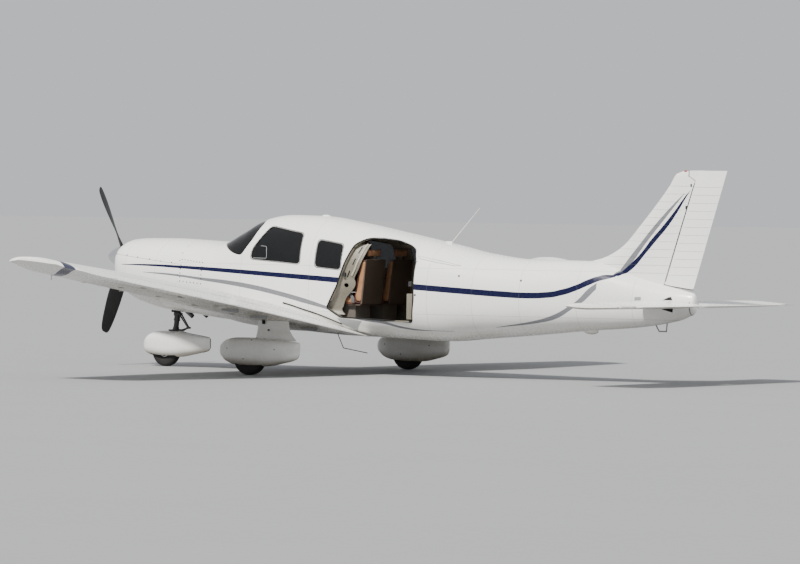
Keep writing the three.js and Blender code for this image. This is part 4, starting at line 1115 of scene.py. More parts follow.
def buildBeads(name, sideY, spanAt, body):
    low, step = beads[name]
    paths = []
    for k in range(beads["count"]):
        z = low + k * step
        start, end = spanAt(z)
        stations = [start + (end - start) * part / 8 for part in range(9)]
        for side in (-1, 1):
            paths.append([at(x, side * (sideY(x, z) - beads["sink"]), z) for x in stations])
    finishPiece(tubes(f"{name}Beads", paths, beads["radius"], sides=2), name, "white_paint", body=body)


tailplane = {
    "trail": 8.195, "half": 0.042, "z": 0.89, "tubeX": 7.78,
    "shape": [(0, 0), (0.008, 0.22), (0.03, 0.4), (0.12, 0.75), (0.35, 1), (0.7, 0.68), (1, 0.24)],
    "tabChord": 0.11, "tabHalfSpan": 1.62, "tabRadius": 0.009, "tabGap": 0.007,
    # distance from the middle, leading edge, share of the thickness
    "rows": [
        (0.0, 7.49, 1.0), (1.0, 7.495, 0.95), (1.83, 7.5, 0.88), (1.87, 7.503, 0.85), (1.895, 7.513, 0.78),
        (1.915, 7.526, 0.66), (1.93, 7.543, 0.56), (1.941, 7.566, 0.45), (1.95, 7.6, 0.35),
    ],
    "root": [(7.0, 0.25), (7.36, 0.205), (7.87, 0.13), (8.078, 0.078), (8.2, 0.06)],
    "tip": [(8.135, 1.627), (8.135, 1.92), (8.21, 1.9), (8.25, 1.71), (8.25, 1.627)],
}


def buildTailplane():
    z, half, trail = tailplane["z"], tailplane["half"], tailplane["trail"]
    shapeAt, rows = smoothTable(tailplane["shape"]), tailplane["rows"]
    rings = []
    for y, lead, share in [(-y, *rest) for y, *rest in reversed(rows[1:])] + rows:
        rings.append(foilRing(
            eased(16, math.pi / 2),
            lambda s, sign: at(lead + s * (trail - lead), y, z + sign * shapeAt(s)[0] * half * share)))
    plane = loft("tailplane", rings)
    root = [(x, -y) for x, y in tailplane["root"]] + tailplane["root"][::-1]
    cut(plane, prism("rootCutter", root, 0, 2, plan=True))
    span, radius = tailplane["tabHalfSpan"], tailplane["tabRadius"]
    hinge, reach = trail + 0.012, span + tailplane["tabGap"]
    cut(plane, rod("tabSpace", (hinge, -reach, z), (hinge, reach, z), radius + tailplane["tabGap"]))
    parts = [plane, rod("tube", (tailplane["tubeX"], -0.26, z), (tailplane["tubeX"], 0.26, z), 0.03)]
    for side in (-1, 1):
        tip = [(x, side * y) for x, y in tailplane["tip"]]
        parts.append(prism("tip", tip, z - 0.008, z + 0.008, 0.02, plan=True))
    finishPiece(joinAll("tailplane", parts), "tail", "white_paint", "stabilator", "stabilator")
    end = hinge + tailplane["tabChord"]
    outline = [
        (hinge, z + radius), (hinge - radius, z), (hinge, z - radius), (end, z - 0.002), (end, z + 0.002)]
    tab = prism("trimTab", outline, -span, span)
    finishPiece(tab, "tail", "white_paint", "stabilator_tab", "stabilator_tab")


print("tail")
buildFin()
buildRudder()
buildBeads("rudder", rudderSideY, lambda z: (hingeX(z) + 0.03, trailX(z) - 0.03), "rudder")
buildBeads("fin", finSideY, lambda z: (finAt(z)[0] + 0.02, hingeX(z) - 0.07), "airframe")
buildTailplane()

# Wings
wing = {
    # distance from the middle, leading and trailing edge, their heights, shares above and below
    "sections": [
        (0.42, 1.96, 4.03, 0.648, 0.44, 0.78, 0.33), (0.64, 2.05, 4.03, 0.678, 0.472, 0.81, 0.81),
        (1.2, 2.43, 4.03, 0.754, 0.548, 1, 1), (2.7, 2.43, 4.03, 0.968, 0.762, 1, 1),
        (5.2, 2.625, 3.65, 1.242, 1.15, 1, 1), (5.36, 2.64, 3.57, 1.27, 1.195, 1, 0.55),
        (5.455, 2.655, 3.42, 1.28, 1.23, 1, 0.1), (5.51, 2.8, 3.33, 1.3, 1.262, 0.55, -0.2),
    ],
    # share of the chord, height above and below
    "foil": [
        (0, 0, 0), (0.02, 0.03, -0.021), (0.08, 0.058, -0.037), (0.2, 0.085, -0.051), (0.4, 0.097, -0.055),
        (0.6, 0.082, -0.04), (0.8, 0.048, -0.014), (1, 0.003, -0.003),
    ],
    "points": 36,
    "flap": {"start": (3.745, 0.715), "end": (3.745, 2.69), "radius": 0.048},
    "aileron": {"start": (3.7, 2.74), "end": (3.462, 4.62), "radius": 0.052},
    "running": 0.007,
}
foilAt = smoothTable([(math.sqrt(share), above, below) for share, above, below in wing["foil"]])
tipAt = smoothTable(wing["sections"][3:])


def wingRow(y):
    rows = wing["sections"]
    if y > rows[4][0]:
        return tipAt(y)
    k = max(1, bisect.bisect_left([row[0] for row in rows], y))
    low, high = rows[k - 1], rows[k]
    share = (y - low[0]) / (high[0] - low[0])
    return [a + (b - a) * share for a, b in zip(low[1:], high[1:])]


# A point on the wing at a share of its chord, above or below, or half way through it.
def wingPoint(y, share, part, side=1, lift=0.0):
    lead, trail, leadZ, trailZ, above, below = wingRow(y)
    upper, lower = foilAt(math.sqrt(share))
    chord = trail - lead
    height = {"above": upper * above, "below": lower * below, "middle": (upper + lower) / 2}[part]
    z = leadZ + (trailZ - leadZ) * share + height * chord + lift
    return (lead + share * chord, side * y, z)


def wingSpot(station, y, part, side=1, lift=0.0):
    lead, trail = wingRow(y)[:2]
    return wingPoint(y, (station - lead) / (trail - lead), part, side, lift)


def wingLoft(name, side):
    root = [0.42, 0.53, 0.64, 0.75, 0.9, 1.05, 1.2]
    tip = [5.2, 5.25, 5.3, 5.36, 5.4, 5.43, 5.455, 5.475, 5.49, 5.502, 5.51]
    shares = eased(wing["points"])
    rings = []
    for y in root + [1.2 + 0.25 * k for k in range(1, 16)] + tip:
        over = [at(*wingPoint(y, s, "above", side)) for s in reversed(shares)]
        under = [at(*wingPoint(y, s, "below", side)) for s in shares[1:]]
        rings.append(over + under)
    return loft(name, rings)


# The space aft of a hinge line, with a round nose about it.
def hingedSpace(name, surface, side, radius, gap):
    start = at(*wingSpot(*surface["start"], "middle", side))
    end = at(*wingSpot(*surface["end"], "middle", side))
    along = (end - start).normalized()
    length = (end - start).length + 2 * gap
    ahead = Vector((along.y, -along.x, 0)).normalized() * side
    up = ahead.cross(along) * side
    place = Matrix((
        (ahead.x, along.x, up.x, 0), (ahead.y, along.y, up.y, 0), (ahead.z, along.z, up.z, 0), (0, 0, 0, 1),
    ))
    place.translation = (start + end) / 2
    deselectAll()
    bpy.ops.mesh.primitive_cube_add(size=1)
    space = bpy.context.object
    space.data.transform(place @ Matrix.Translation((0.45, 0, 0)) @ Matrix.Diagonal((0.9, length, 0.6, 1)))
    deselectAll()
    bpy.ops.mesh.primitive_cylinder_add(vertices=64, radius=radius, depth=length)
    nose = bpy.context.object
    nose.data.transform(place @ Matrix.Rotation(math.pi / 2, 4, "X"))
    for piece in (space, nose):
        faceOut(piece)
    cut(space, nose, "UNION")
    space.name = name
    return space


def buildWing(name, side):
    word, gap = name.lower(), wing["running"]
    form = wingLoft(f"wing{name}", side)
    for key in ("flap", "aileron"):
        surface = wing[key]
        piece = copyOf(form, f"{key}{name}")
        cut(piece, hingedSpace("surfaceCutter", surface, side, surface["radius"], 0), "INTERSECT")
        finishPiece(piece, "surface", "white_paint", f"{key}_{word}", f"{key}_{word}")
    for key in ("flap", "aileron"):
        surface = wing[key]
        cut(form, hingedSpace("surfaceSpace", surface, side, surface["radius"] + gap, gap + 0.002))
    cut(form, solidSkin("bodySpace", 1.7, 4.4, 0.001))
    finishPiece(form, "wing", "white_paint", f"wing_{word}")


print("wings")
for name, side in sides.items():
    buildWing(name, side)

# Propeller
propeller = {
    "x": 0.265, "z": 1.29, "firstAngle": 34.5,
    # radius, chord, thickness, pitch
    "blade": [
        (0.095, 0.105, 0.058, 62), (0.2, 0.13, 0.042, 52), (0.33, 0.175, 0.029, 41),
        (0.56, 0.185, 0.018, 29), (0.8, 0.165, 0.012, 21), (0.94, 0.125, 0.008, 18),
        (0.975, 0.095, 0.0065, 17), (0.99, 0.055, 0.005, 17),
    ],
    "outline": [
        (-0.5, 0), (-0.42, 0.2), (-0.3, 0.37), (-0.15, 0.47), (0, 0.5), (0.2, 0.44), (0.35, 0.32),
        (0.45, 0.17), (0.5, 0), (0.45, -0.1), (0.3, -0.18), (0, -0.21), (-0.3, -0.18), (-0.45, -0.08),
    ],
    "spinner": [
        (0.0, 0.0), (0.012, 0.0035), (0.024, 0.01), (0.038, 0.022), (0.055, 0.04), (0.072, 0.062),
        (0.089, 0.092), (0.104, 0.125), (0.119, 0.163), (0.132, 0.205), (0.141, 0.24), (0.146, 0.27),
        (0.149, 0.3), (0.15, 0.318), (0.06, 0.318), (0.058, 0.549), (0.0, 0.549),
    ],
}


def buildPropeller():
    bladeAt = smoothTable(propeller["blade"])
    spinner = turned("spinner", propeller["spinner"], (0, 0, propeller["z"]), "X", 72)
    finishPiece(spinner, "chrome", "polished", "spinner", "propeller")
    radii = [0.095 + 0.04 * k for k in range(21)] + [0.92, 0.94, 0.955, 0.968, 0.978, 0.985, 0.99]
    rings = []
    for radius in radii:
        chord, thickness, pitch = bladeAt(radius)
        turn = math.radians(pitch)
        ring = []
        for share, part in propeller["outline"]:
            along, out = share * chord, -part * thickness
            ring.append(at(
                propeller["x"] + out * math.cos(turn) - along * math.sin(turn),
                along * math.cos(turn) + out * math.sin(turn), radius))
        rings.append(ring)
    first = loft("blade", rings)
    cuffs = []
    for k, name in enumerate(("upper", "lower", "side")):
        angle = math.radians(propeller["firstAngle"] + 120 * k)
        place = Matrix.Translation((0, 0, propeller["z"])) @ Matrix.Rotation(angle, 4, "X")
        blade = copyOf(first, f"blade{name.title()}")
        blade.data.transform(place)
        finishPiece(blade, "blade", "black_paint", f"blade_{name}", "propeller")
        cuff = rod("cuff", (propeller["x"], 0, 0.118), (propeller["x"], 0, 0.138), 0.052, 0.045)
        cuff.data.transform(place)
        cuffs.append(cuff)
    bpy.data.objects.remove(first)
    finishPiece(joinAll("bladeCuffs", cuffs), "gear", "black_paint", body="propeller")


print("propeller")
buildPropeller()

# Landing gear
gear = {
    "mainX": 3.22, "mainY": 1.665, "mainRadius": 0.2, "mainWidth": 0.14, "mainRim": 0.072, "pantY": 1.65,
    "noseX": 0.873, "noseRadius": 0.18, "noseWidth": 0.124, "noseRim": 0.065, "legY": 1.545,
    "clearance": 0.008, "pantPower": 3.0, "axle": 0.016, "bolts": 6,
    # height, leading edge, trailing edge, half thickness
    "leg": [
        (0.395, 3.205, 3.775, 0.05), (0.41, 3.212, 3.765, 0.049), (0.43, 3.222, 3.745, 0.047),
        (0.47, 3.232, 3.71, 0.045), (0.5, 3.238, 3.69, 0.044), (0.56, 3.246, 3.672, 0.043),
        (0.66, 3.256, 3.66, 0.043),
    ],
    # station, top, bottom, half width, shift
    "mainPant": [
        (2.812, 0.315, 0.245, 0.03, 0), (2.822, 0.335, 0.222, 0.048, 0), (2.85, 0.362, 0.195, 0.072, 0),
        (2.925, 0.405, 0.145, 0.115, 0), (3.044, 0.424, 0.112, 0.145, 0), (3.24, 0.426, 0.1, 0.152, 0),
        (3.423, 0.42, 0.102, 0.14, 0), (3.64, 0.402, 0.14, 0.1, -0.02),
        (3.81, 0.386, 0.19, 0.042, -0.052), (3.847, 0.378, 0.245, 0.014, -0.06),
    ],
    "nosePant": [
        (0.56, 0.275, 0.225, 0.026, 0), (0.568, 0.302, 0.204, 0.045, 0), (0.585, 0.325, 0.18, 0.062, 0),
        (0.64, 0.375, 0.142, 0.098, 0), (0.743, 0.413, 0.121, 0.122, 0), (0.873, 0.422, 0.112, 0.13, 0),
        (1.08, 0.418, 0.116, 0.128, 0), (1.21, 0.396, 0.138, 0.11, 0), (1.4, 0.37, 0.178, 0.066, 0),
        (1.48, 0.357, 0.2, 0.03, 0), (1.507, 0.35, 0.222, 0.012, 0),
    ],
}


def steerX(height):
    return 0.974 + (height - 0.18) * 0.115


def pantLoft(name, rows, middleY, side=1):
    rowAt, power = smoothTable(rows), gear["pantPower"]
    start, end = rows[0][0], rows[-1][0]
    rings = []
    for station in [start + (end - start) * share for share in eased(40)]:
        top, bottom, half, shift = rowAt(station)
        middle, reach = (top + bottom) / 2, (top - bottom) / 2
        ring = []
        for k in range(48):
            angle = 2 * math.pi * k / 48
            across, up = math.cos(angle), math.sin(angle)
            size = ((abs(across) / half) ** power + (abs(up) / reach) ** power) ** (-1 / power)
            ring.append(at(station, side * (middleY + shift + across * size), middle + up * size))
        rings.append(ring)
    return loft(name, rings)


def wheelSpace(x, y, radius, half):
    reach = radius + gear["clearance"]
    space = rod("wheelSpace", (x, y - half, radius), (x, y + half, radius), reach, sides=64)
    return cut(space, block("below", (x - reach, y - half, -0.1), (x + reach, y + half, radius)), "UNION")


def tyreProfile(radius, half, rim):
    flank = [
        (rim + 0.0004, -half * 0.7), (rim + 0.012, -half * 0.86), (radius * 0.55, -half * 0.97),
        (radius * 0.66, -half), (radius * 0.78, -half * 0.985), (radius * 0.88, -half * 0.92),
        (radius * 0.945, -half * 0.8), (radius * 0.975, -half * 0.66),
    ]
    tread = []
    for groove in (-0.42, -0.14, 0.14, 0.42):
        for offset, depth in ((-0.0035, 0.0), (-0.0025, 0.005), (0.0025, 0.005), (0.0035, 0.0)):
            tread.append((radius * (1 - 0.02 * (groove / 0.6) ** 2) - depth, groove * half + offset))
    return flank + tread + [(r, -along) for r, along in reversed(flank)] + flank[:1]


def rimProfile(half, rim):
    near = [
        (0.0165, -half * 0.55), (0.03, -half * 0.55), (0.034, -half * 0.42), (rim * 0.74, -half * 0.36),
        (rim * 0.8, -half * 0.6), (rim * 0.93, -half * 0.74), (rim, -half * 0.72),
    ]
    return near + [(r, -along) for r, along in reversed(near)] + near[:1]


# A tyre, and its rim with a ring of bolts on both faces. The names have a gap for the word tyre or rim.
def buildWheel(names, solids, x, y, radius, width, rim, body):
    half = width / 2
    tyre = turned(names.format("Tyre"), tyreProfile(radius, half, rim), (x, y, radius), "Y", 72)
    finishPiece(tyre, "tyre", "tyre", solids.format("tyre"), body)
    parts = [turned("rim", rimProfile(half, rim), (x, y, radius), "Y", 64)]
    for k in range(gear["bolts"]):
        angle = 2 * math.pi * k / gear["bolts"]
        boltX, boltZ = x + math.cos(angle) * rim * 0.55, radius + math.sin(angle) * rim * 0.55
        for face in (-half, half):
            foot, head = (boltX, y + face * 0.37, boltZ), (boltX, y + face * 0.46, boltZ)
            parts.append(rod("bolt", foot, head, 0.006, sides=6))
    finishPiece(joinAll(names.format("Rim"), parts), "chrome", "polished", solids.format("rim"), body)


def buildMainGear(name, side):
    word = name.lower()
    x, y, radius, legY = gear["mainX"], side * gear["mainY"], gear["mainRadius"], side * gear["legY"]
    pant = pantLoft(f"mainPant{name}", gear["mainPant"], gear["pantY"], side)
    cut(pant, wheelSpace(x, y, radius, gear["mainWidth"] / 2 + gear["clearance"]))
    cut(pant, rod("legSpace", (x, legY, 0.17), (x + 0.036, legY, 0.61), 0.0256))
    finishPiece(pant, "plain", "white_paint", f"main_pant_{word}")
    middle = side * (gear["legY"] + 0.005)
    rings = []
    for z, lead, trail, half in gear["leg"]:
        def place(s, sign):
            thickness = half * 2.6 * (0.985 * math.sqrt(s) - 0.63 * s - 0.35 * s ** 2)
            return at(lead + s * (trail - lead), middle + sign * thickness, z)

        rings.append(foilRing(eased(14), place, -1))
    leg = loft(f"mainLeg{name}", rings)
    cut(leg, wingLoft("wingSpace", side))
    finishPiece(leg, "plain", "white_paint", f"main_leg_{word}")
    strut = rod("strut", (x, legY, 0.196), (x + 0.018, legY, 0.42), 0.025)
    axle = rod("axle", (x, legY, radius), (x, side * (gear["mainY"] + 0.06), radius), gear["axle"])
    finishPiece(joinAll(f"mainAxle{name}", [strut, axle]), "gear", "gear_metal")
    sizes = (x, y, radius, gear["mainWidth"], gear["mainRim"])
    buildWheel("main{}" + name, "main_{}_" + word, *sizes, f"wheel_{word}")


noseLeg = {
    "knee": (1.187, 0.464), "foot": (1.097, 0.434), "ears": 0.625, "crown": 0.4, "mount": 1.459,
    "plate": 0.018, "crownTop": 0.402, "piston": 0.0315,
    # cylinder, collar, gland and foot: lower and upper height, radius, bevel
    "turned": [
        (0.552, 0.705, 0.036, 0.003), (0.604, 0.648, 0.047, 0.004), (0.545, 0.562, 0.04, 0.002),
        (0.386, 0.412, 0.044, 0.004),
    ],
}


# A point on the nose leg's raked axis, or beside it.
def onLeg(z, y=0.0, aft=0.0):
    return (steerX(z) + aft, y, z)


def buildNoseGear():
    x, radius, half = gear["noseX"], gear["noseRadius"], gear["noseWidth"] / 2 + 0.01
    mount, crown, ears, plate = noseLeg["mount"], noseLeg["crown"], noseLeg["ears"], noseLeg["plate"]
    (kneeX, kneeZ), (footX, footZ) = noseLeg["knee"], noseLeg["foot"]
    inside = gear["noseWidth"] / 2 + 0.0284
    pant = pantLoft("nosePant", gear["nosePant"], 0)
    cut(pant, wheelSpace(x, 0, radius, inside))
    low, high = (steerX(crown) - 0.06, -inside, 0.2), (steerX(crown) + 0.05, inside, 0.4024)
    cut(pant, block("crownSpace", low, high))
    cut(pant, rod("pistonSpace", onLeg(0.38), onLeg(0.52), 0.034))
    finishPiece(pant, "plain", "white_paint", "nose_pant", "nose_gear")
    parts = [
        rod("noseStrut", onLeg(0.706), onLeg(1.04), 0.042, bevel=0.003),
        block("brace", (steerX(1.0), -0.06, 0.96), (mount, 0.06, 1.035), 0.01),
        *[rod("arm", onLeg(0.95), (mount, side * 0.17, 0.8), 0.014) for side in (-1, 1)],
    ]
    finishPiece(joinAll("noseStrut", parts), "gear", "gear_metal", "nose_strut")
    fork = [
        rod("sleeve", onLeg(low), onLeg(high), thick, bevel=bevel)
        for low, high, thick, bevel in noseLeg["turned"]]
    fork += [
        block("footPlate", (steerX(0.43) - 0.08, -0.045, 0.423), (steerX(0.43) + 0.075, 0.045, 0.441), 0.007),
        rod("boot", onLeg(0.436), onLeg(0.474), 0.041, 0.035, bevel=0.003),
        rod("knee", (kneeX, -0.032, kneeZ), (kneeX, 0.032, kneeZ), 0.013),
        rod("upperPin", onLeg(ears, -0.036, 0.04), onLeg(ears, 0.036, 0.04), 0.012),
        rod("lowerPin", (footX, -0.036, footZ), (footX, 0.036, footZ), 0.012),
        block("upperLug", (steerX(ears) + 0.01, -0.028, 0.61), (steerX(ears) + 0.05, 0.028, 0.64), 0.006),
        block("lowerLug", (steerX(0.43), -0.02, 0.422), (1.105, 0.02, 0.446), 0.006),
        rod("web", (1.14, -0.018, 0.53), (1.14, 0.018, 0.53), 0.006),
        block(
            "crown", (steerX(crown) - 0.055, -half - plate, 0.384),
            (steerX(crown) + 0.045, half + plate, noseLeg["crownTop"]), 0.004),
        rod("axle", (x, -half - 0.01, radius), (x, half + 0.01, radius), gear["axle"]),
        block("steeringArm", (steerX(0.66) - 0.02, -0.1, 0.655), (steerX(0.66) + 0.02, 0.1, 0.67), 0.004),
    ]
    outline = [
        (x - 0.022, 0.16), (x + 0.022, 0.16), (steerX(crown) + 0.04, 0.39), (steerX(crown) - 0.05, 0.39)]
    for side in (-1, 1):
        y, endY = side * 0.022, side * 0.014
        fork.append(rod("upperLink", onLeg(ears, y, 0.04), (kneeX, endY, kneeZ), 0.01, 0.007))
        fork.append(rod("lowerLink", (kneeX, endY, kneeZ), (footX, y, footZ), 0.007, 0.01))
        fork.append(prism("forkPlate", outline, side * half, side * (half + plate), 0.01))
    finishPiece(joinAll("noseFork", fork), "gear", "gear_metal", "nose_fork", "nose_gear")
    piston = rod("nosePiston", onLeg(0.405), onLeg(0.55), noseLeg["piston"])
    finishPiece(piston, "gear", "polished", body="nose_gear")
    buildWheel("nose{}", "nose_{}", x, 0, radius, gear["noseWidth"], gear["noseRim"], "nose_wheel")


print("landing gear")
for name, side in sides.items():
    buildMainGear(name, side)
buildNoseGear()

# Seats, modelled once at the origin and copied to their places
seats = {
    "places": {
        "front_left": (2.62, -0.29), "front_right": (2.62, 0.29),
        "middle_left": (3.44, -0.29), "middle_right": (3.44, 0.29),
    },
    "floor": 0.59,
    "half": 0.212, "headHalf": 0.118, "stitches": (-0.52, -0.2, 0.2, 0.52),
    # side outlines from the front of the cushion, heights above the floor
    "base": [(0.012, 0.232), (0.012, 0.302), (0.045, 0.322), (0.24, 0.314), (0.412, 0.296), (0.425, 0.232)],
    "back": [(0.425, 0.292), (0.502, 0.722), (0.56, 0.722), (0.508, 0.245), (0.44, 0.245)],
    "head": [(0.522, 0.772), (0.524, 0.846), (0.559, 0.848), (0.561, 0.776)],
    "pan": [(0.03, 0.2055), (0.03, 0.224), (0.49, 0.224), (0.49, 0.2055)],
    "shell": [(0.5, 0.225), (0.522, 0.225), (0.574, 0.735), (0.564, 0.738)],
    "voxel": 0.0065, "pressure": 4.0, "cap": 0.011, "frames": 20,
}


# Blows a closed mesh up like a cushion, as far as the cap lets each point go.
def swell(piece, cap):
    before = [vertex.co.copy() for vertex in piece.data.vertices]
    choose(piece)
    cloth = piece.modifiers.new("Cloth", "CLOTH")
    cloth.settings.use_pressure = True
    cloth.settings.uniform_pressure_force = seats["pressure"]
    cloth.settings.effector_weights.gravity = 0
    cloth.point_cache.frame_start, cloth.point_cache.frame_end = 1, seats["frames"]
    for step in range(1, seats["frames"] + 1):
        bpy.context.scene.frame_set(step)
    bpy.ops.object.modifier_apply(modifier=cloth.name)
    bpy.context.scene.frame_set(1)
    for vertex, start in zip(piece.data.vertices, before):
        move = vertex.co - start
        if move.length > cap:
            vertex.co = start + move * (cap / move.length)


# The rows of stitches that pull the top of a pad in, as shares of its half width.
def quilt(piece, half, rows, depth, width):
    for vertex in piece.data.vertices:
        pull = sum(math.exp(-((vertex.co.y - row * half) / width) ** 2) for row in rows)
        vertex.co -= vertex.normal * depth * pull * (abs(vertex.normal.y) < 0.6)


def pad(name, corners, half, radius, rows=()):
    piece = prism(name, corners, -half, half, radius)
    applyModifier(piece, "BEVEL", width=0.018, segments=4, limit_method="ANGLE")
    applyModifier(piece, "REMESH", mode="VOXEL", voxel_size=seats["voxel"])
    swell(piece, seats["cap"])
    applyModifier(piece, "SMOOTH", factor=0.5, iterations=5)
    if rows:
        quilt(piece, half, rows, 0.0055, 0.0065)
    return piece


# A flat strap through points across the aircraft, wide along X.
def strap(name, points, width, thickness=0.0014):
    rings = []
    for k, point in enumerate(points):
        before, after = points[max(k - 1, 0)], points[min(k + 1, len(points) - 1)]
        along = (Vector(after) - Vector(before)).normalized()
        side = Vector((1, 0, 0))
        up = along.cross(side).normalized()
        middle = at(*point)
        rings.append([
            middle + side * a * width / 2 + up * b * thickness / 2
            for a, b in ((-1, -1), (1, -1), (1, 1), (-1, 1))])
    return loft(name, rings)


def buildSeats():
    half, headHalf = seats["half"], seats["headHalf"]
    base = pad("baseCushion", seats["base"], half, 0.03, seats["stitches"])
    back = pad("backCushion", seats["back"], half, 0.03, seats["stitches"])
    head = pad("headCushion", seats["head"], headHalf, 0.012)
    piping = []
    for key, reach in (("base", half), ("back", half), ("head", headHalf)):
        for side in (-1, 1):
            outline = rounded(grown(seats[key], 0.004), 0.03)
            piping.append([at(p.x, side * (reach - 0.012), p.y) for p in outline])
    piping = tubes("seatPiping", piping, 0.0035, closed=True, sides=2)
    seatFrame = [
        prism("pan", seats["pan"], -0.19, 0.19, 0.004), prism("shell", seats["shell"], -0.205, 0.205, 0.004),
        *[rod("post", (0.528, y, 0.7), (0.543, y, 0.8), 0.006, sides=16) for y in (-0.06, 0.06)],
    ]
    seatFrame = joinAll("seatFrame", seatFrame)
    belt = [
        strap("belt", [
            (0.41, side * 0.223, 0.24), (0.405, side * 0.226, 0.3), (0.36, side * 0.205, 0.336),
            (0.31, side * 0.15, 0.343), (0.27, side * 0.08, 0.34), (0.25, side * 0.012, 0.339),
        ], 0.046)
        for side in (-1, 1)
    ]
    belt = joinAll("lapBelt", belt)
    buckle = block("buckle", (0.222, -0.028, 0.337), (0.278, 0.028, 0.351), 0.004)
    # piece, finish, slot, how full a cushion is
    parts = [
        (base, "tan", "seat_leather", 0.85), (back, "tan", "seat_leather", 0.85),
        (head, "tan", "seat_leather", 0.9), (piping, "redBrown", "seat_leather", None),
        (seatFrame, "shell", "cabin_trim", None),
        (belt, "strap", "black_plastic", None), (buckle, "steel", "polished", None),
    ]
    for place, (x, y) in seats["places"].items():
        word = "".join(part.title() for part in place.split("_"))
        for part, finish, slot, fill in parts:
            piece = copyOf(part, f"{part.name}{word}")
            piece.data.transform(Matrix.Translation((x, y, seats["floor"])))
            solid = f"seat_{place}" if part is base else None
            finishPiece(piece, finish, slot, solid, angle=50)
    for row in parts:
        bpy.data.objects.remove(row[0])


doorFrame = {
    # the front jamb's panel: height, how far it reaches aft, how far out its aft edge lies
    "jamb": [
        (0.69, 0.07, 0.534), (0.8, 0.16, 0.534), (0.88, 0.15, 0.534), (0.934, 0.16, 0.534),
        (1.02, 0.178, 0.534), (1.062, 0.168, 0.534), (1.104, 0.135, 0.534), (1.254, 0.165, 0.534),
        (1.382, 0.167, 0.49), (1.5, 0.139, 0.4),
    ],
    # height, station
    "frontEdge": [
        (0.662, 3.746), (0.767, 3.574), (1.029, 3.713), (1.294, 3.796), (1.491, 3.87), (1.538, 3.934),
    ],
    "wall": 0.045, "thickness": 0.008, "hole": (3.792, 1.028),
    "slots": [(1.16, 0.45), (1.3, 0.5), (1.43, 0.52)],
    "low": 0.69, "high": 1.5, "channelFrom": 1.12,
}
jambAt = smoothTable(doorFrame["frontEdge"])
jambReachAt = smoothTable(doorFrame["jamb"])


# A point on the front jamb's panel at a height, and a share of the way from its front edge.
def onJamb(z, share, lift=0.0):
    reach, aftY = jambReachAt(z)
    front = jambAt(z)[0] - 0.004
    frontY = skinY(front, z, doorFrame["wall"]) - 0.002
    return at(front + reach * share, lift - (frontY + (aftY - frontY) * share), z)


def buildDoorFrame():
    rings, lip, channel = [], [], []
    thick, shares = doorFrame["thickness"], (0, 0.3, 0.6, 1)
    for k in range(37):
        z = doorFrame["low"] + (doorFrame["high"] - doorFrame["low"]) * k / 36
        ring = [onJamb(z, share) for share in shares]
        rings.append(ring + [onJamb(z, share, thick) for share in reversed(shares)])
        lip.append(onJamb(z, 1, thick / 2))
        if z > doorFrame["channelFrom"]:
            channel.append(onJamb(z, 0.78, -0.003))
    panel = loft("jambPanel", rings)
    x, z = doorFrame["hole"]
    cut(panel, rod("holeCutter", (x, -0.7, z), (x, -0.45, z), 0.025))
    finishPiece(panel, "jamb", "cabin_trim")
    finishPiece(tubes("jambEdge", [lip], 0.006), "jamb", "cabin_trim")
    finishPiece(tubes("jambChannel", [channel], 0.012), "pale", "cabin_trim")
    # Black bars on the jamb panel mark its slots: painted shade for the openings.
    slots = []
    for z, share in doorFrame["slots"]:
        low, high = onJamb(z - 0.035, share), onJamb(z + 0.035, share)
        slots.append(rod("slot", low - at(0, 0, 0), high - at(0, 0, 0), 0.007, sides=12))
    finishPiece(joinAll("jambSlotShade", slots), "rubber", "black_plastic")
    strips = [
        block("rearStrip", (4.625, -0.585, 0.655), (4.7, -0.56, 0.95), 0.006),
        block("sillStrip", (3.78, -0.585, 0.6245), (4.66, -0.53, 0.64), 0.004),
    ]
    finishPiece(joinAll("doorwayStrips", strips), "jamb", "cabin_trim")
    catches = [
        block("catch", (4.655, -0.6, 1.03), (4.7, -0.585, 1.09), 0.004),
        block("catch", (3.765, -0.606, 1.125), (3.795, -0.58, 1.175), 0.004),
    ]
    finishPiece(joinAll("doorCatches", catches), "gear", "gear_metal")


cockpit = {
    "face": 2.125,
    # y, height, radius of each dial
    "dials": [
        (-0.4, 1.33, 0.04), (-0.3, 1.33, 0.04), (-0.2, 1.33, 0.04), (-0.4, 1.235, 0.04),
        (-0.3, 1.235, 0.04), (-0.2, 1.235, 0.04), (0.24, 1.33, 0.028), (0.31, 1.33, 0.028),
        (0.38, 1.33, 0.028), (0.24, 1.26, 0.028), (0.31, 1.26, 0.028), (0.38, 1.26, 0.028),
    ],
    "halfWidth": 0.66, "yokeY": 0.29, "yokeZ": 1.13,
    "shield": [(1.905, 1.415), (1.905, 1.436), (2.15, 1.44), (2.17, 1.43), (2.165, 1.405), (2.12, 1.415)],
    # radio: height of its middle, its own height
    "radios": [(1.375, 0.03), (1.33, 0.045), (1.275, 0.045), (1.22, 0.035), (1.175, 0.035)],
    "levers": (-0.045, 0.0, 0.045), "switches": 10, "marks": 8,
    # one half of the yoke's bow: across, up
    "bow": [(0.03, -0.008), (0.09, -0.018), (0.126, 0.0), (0.13, 0.05), (0.128, 0.098)],
}


def buildDial(y, z, radius):
    face = cockpit["face"]
    rim = [
        (radius, 0), (radius * 1.16, 0), (radius * 1.16, 0.004), (radius * 1.05, 0.008), (radius, 0.008),
        (radius, 0),
    ]
    parts = [turned("bezel", rim, (face, y, z), "X", 40)]
    middle = at(face, y, z)
    for k in range(cockpit["marks"]):
        low, high = z + radius * 0.72, z + radius * 0.92
        mark = block("mark", (face + 0.003, y - 0.001, low), (face + 0.0036, y + 0.001, high))
        turn = Matrix.Rotation(2 * math.pi * k / cockpit["marks"], 4, "X")
        mark.data.transform(Matrix.Translation(middle) @ turn @ Matrix.Translation(-middle))
        parts.append(mark)
    glass = [(0, 0.001), (radius, 0.001), (radius, 0.003), (0, 0.003)]
    return parts, turned("dial", glass, (face, y, z), "X", 40)


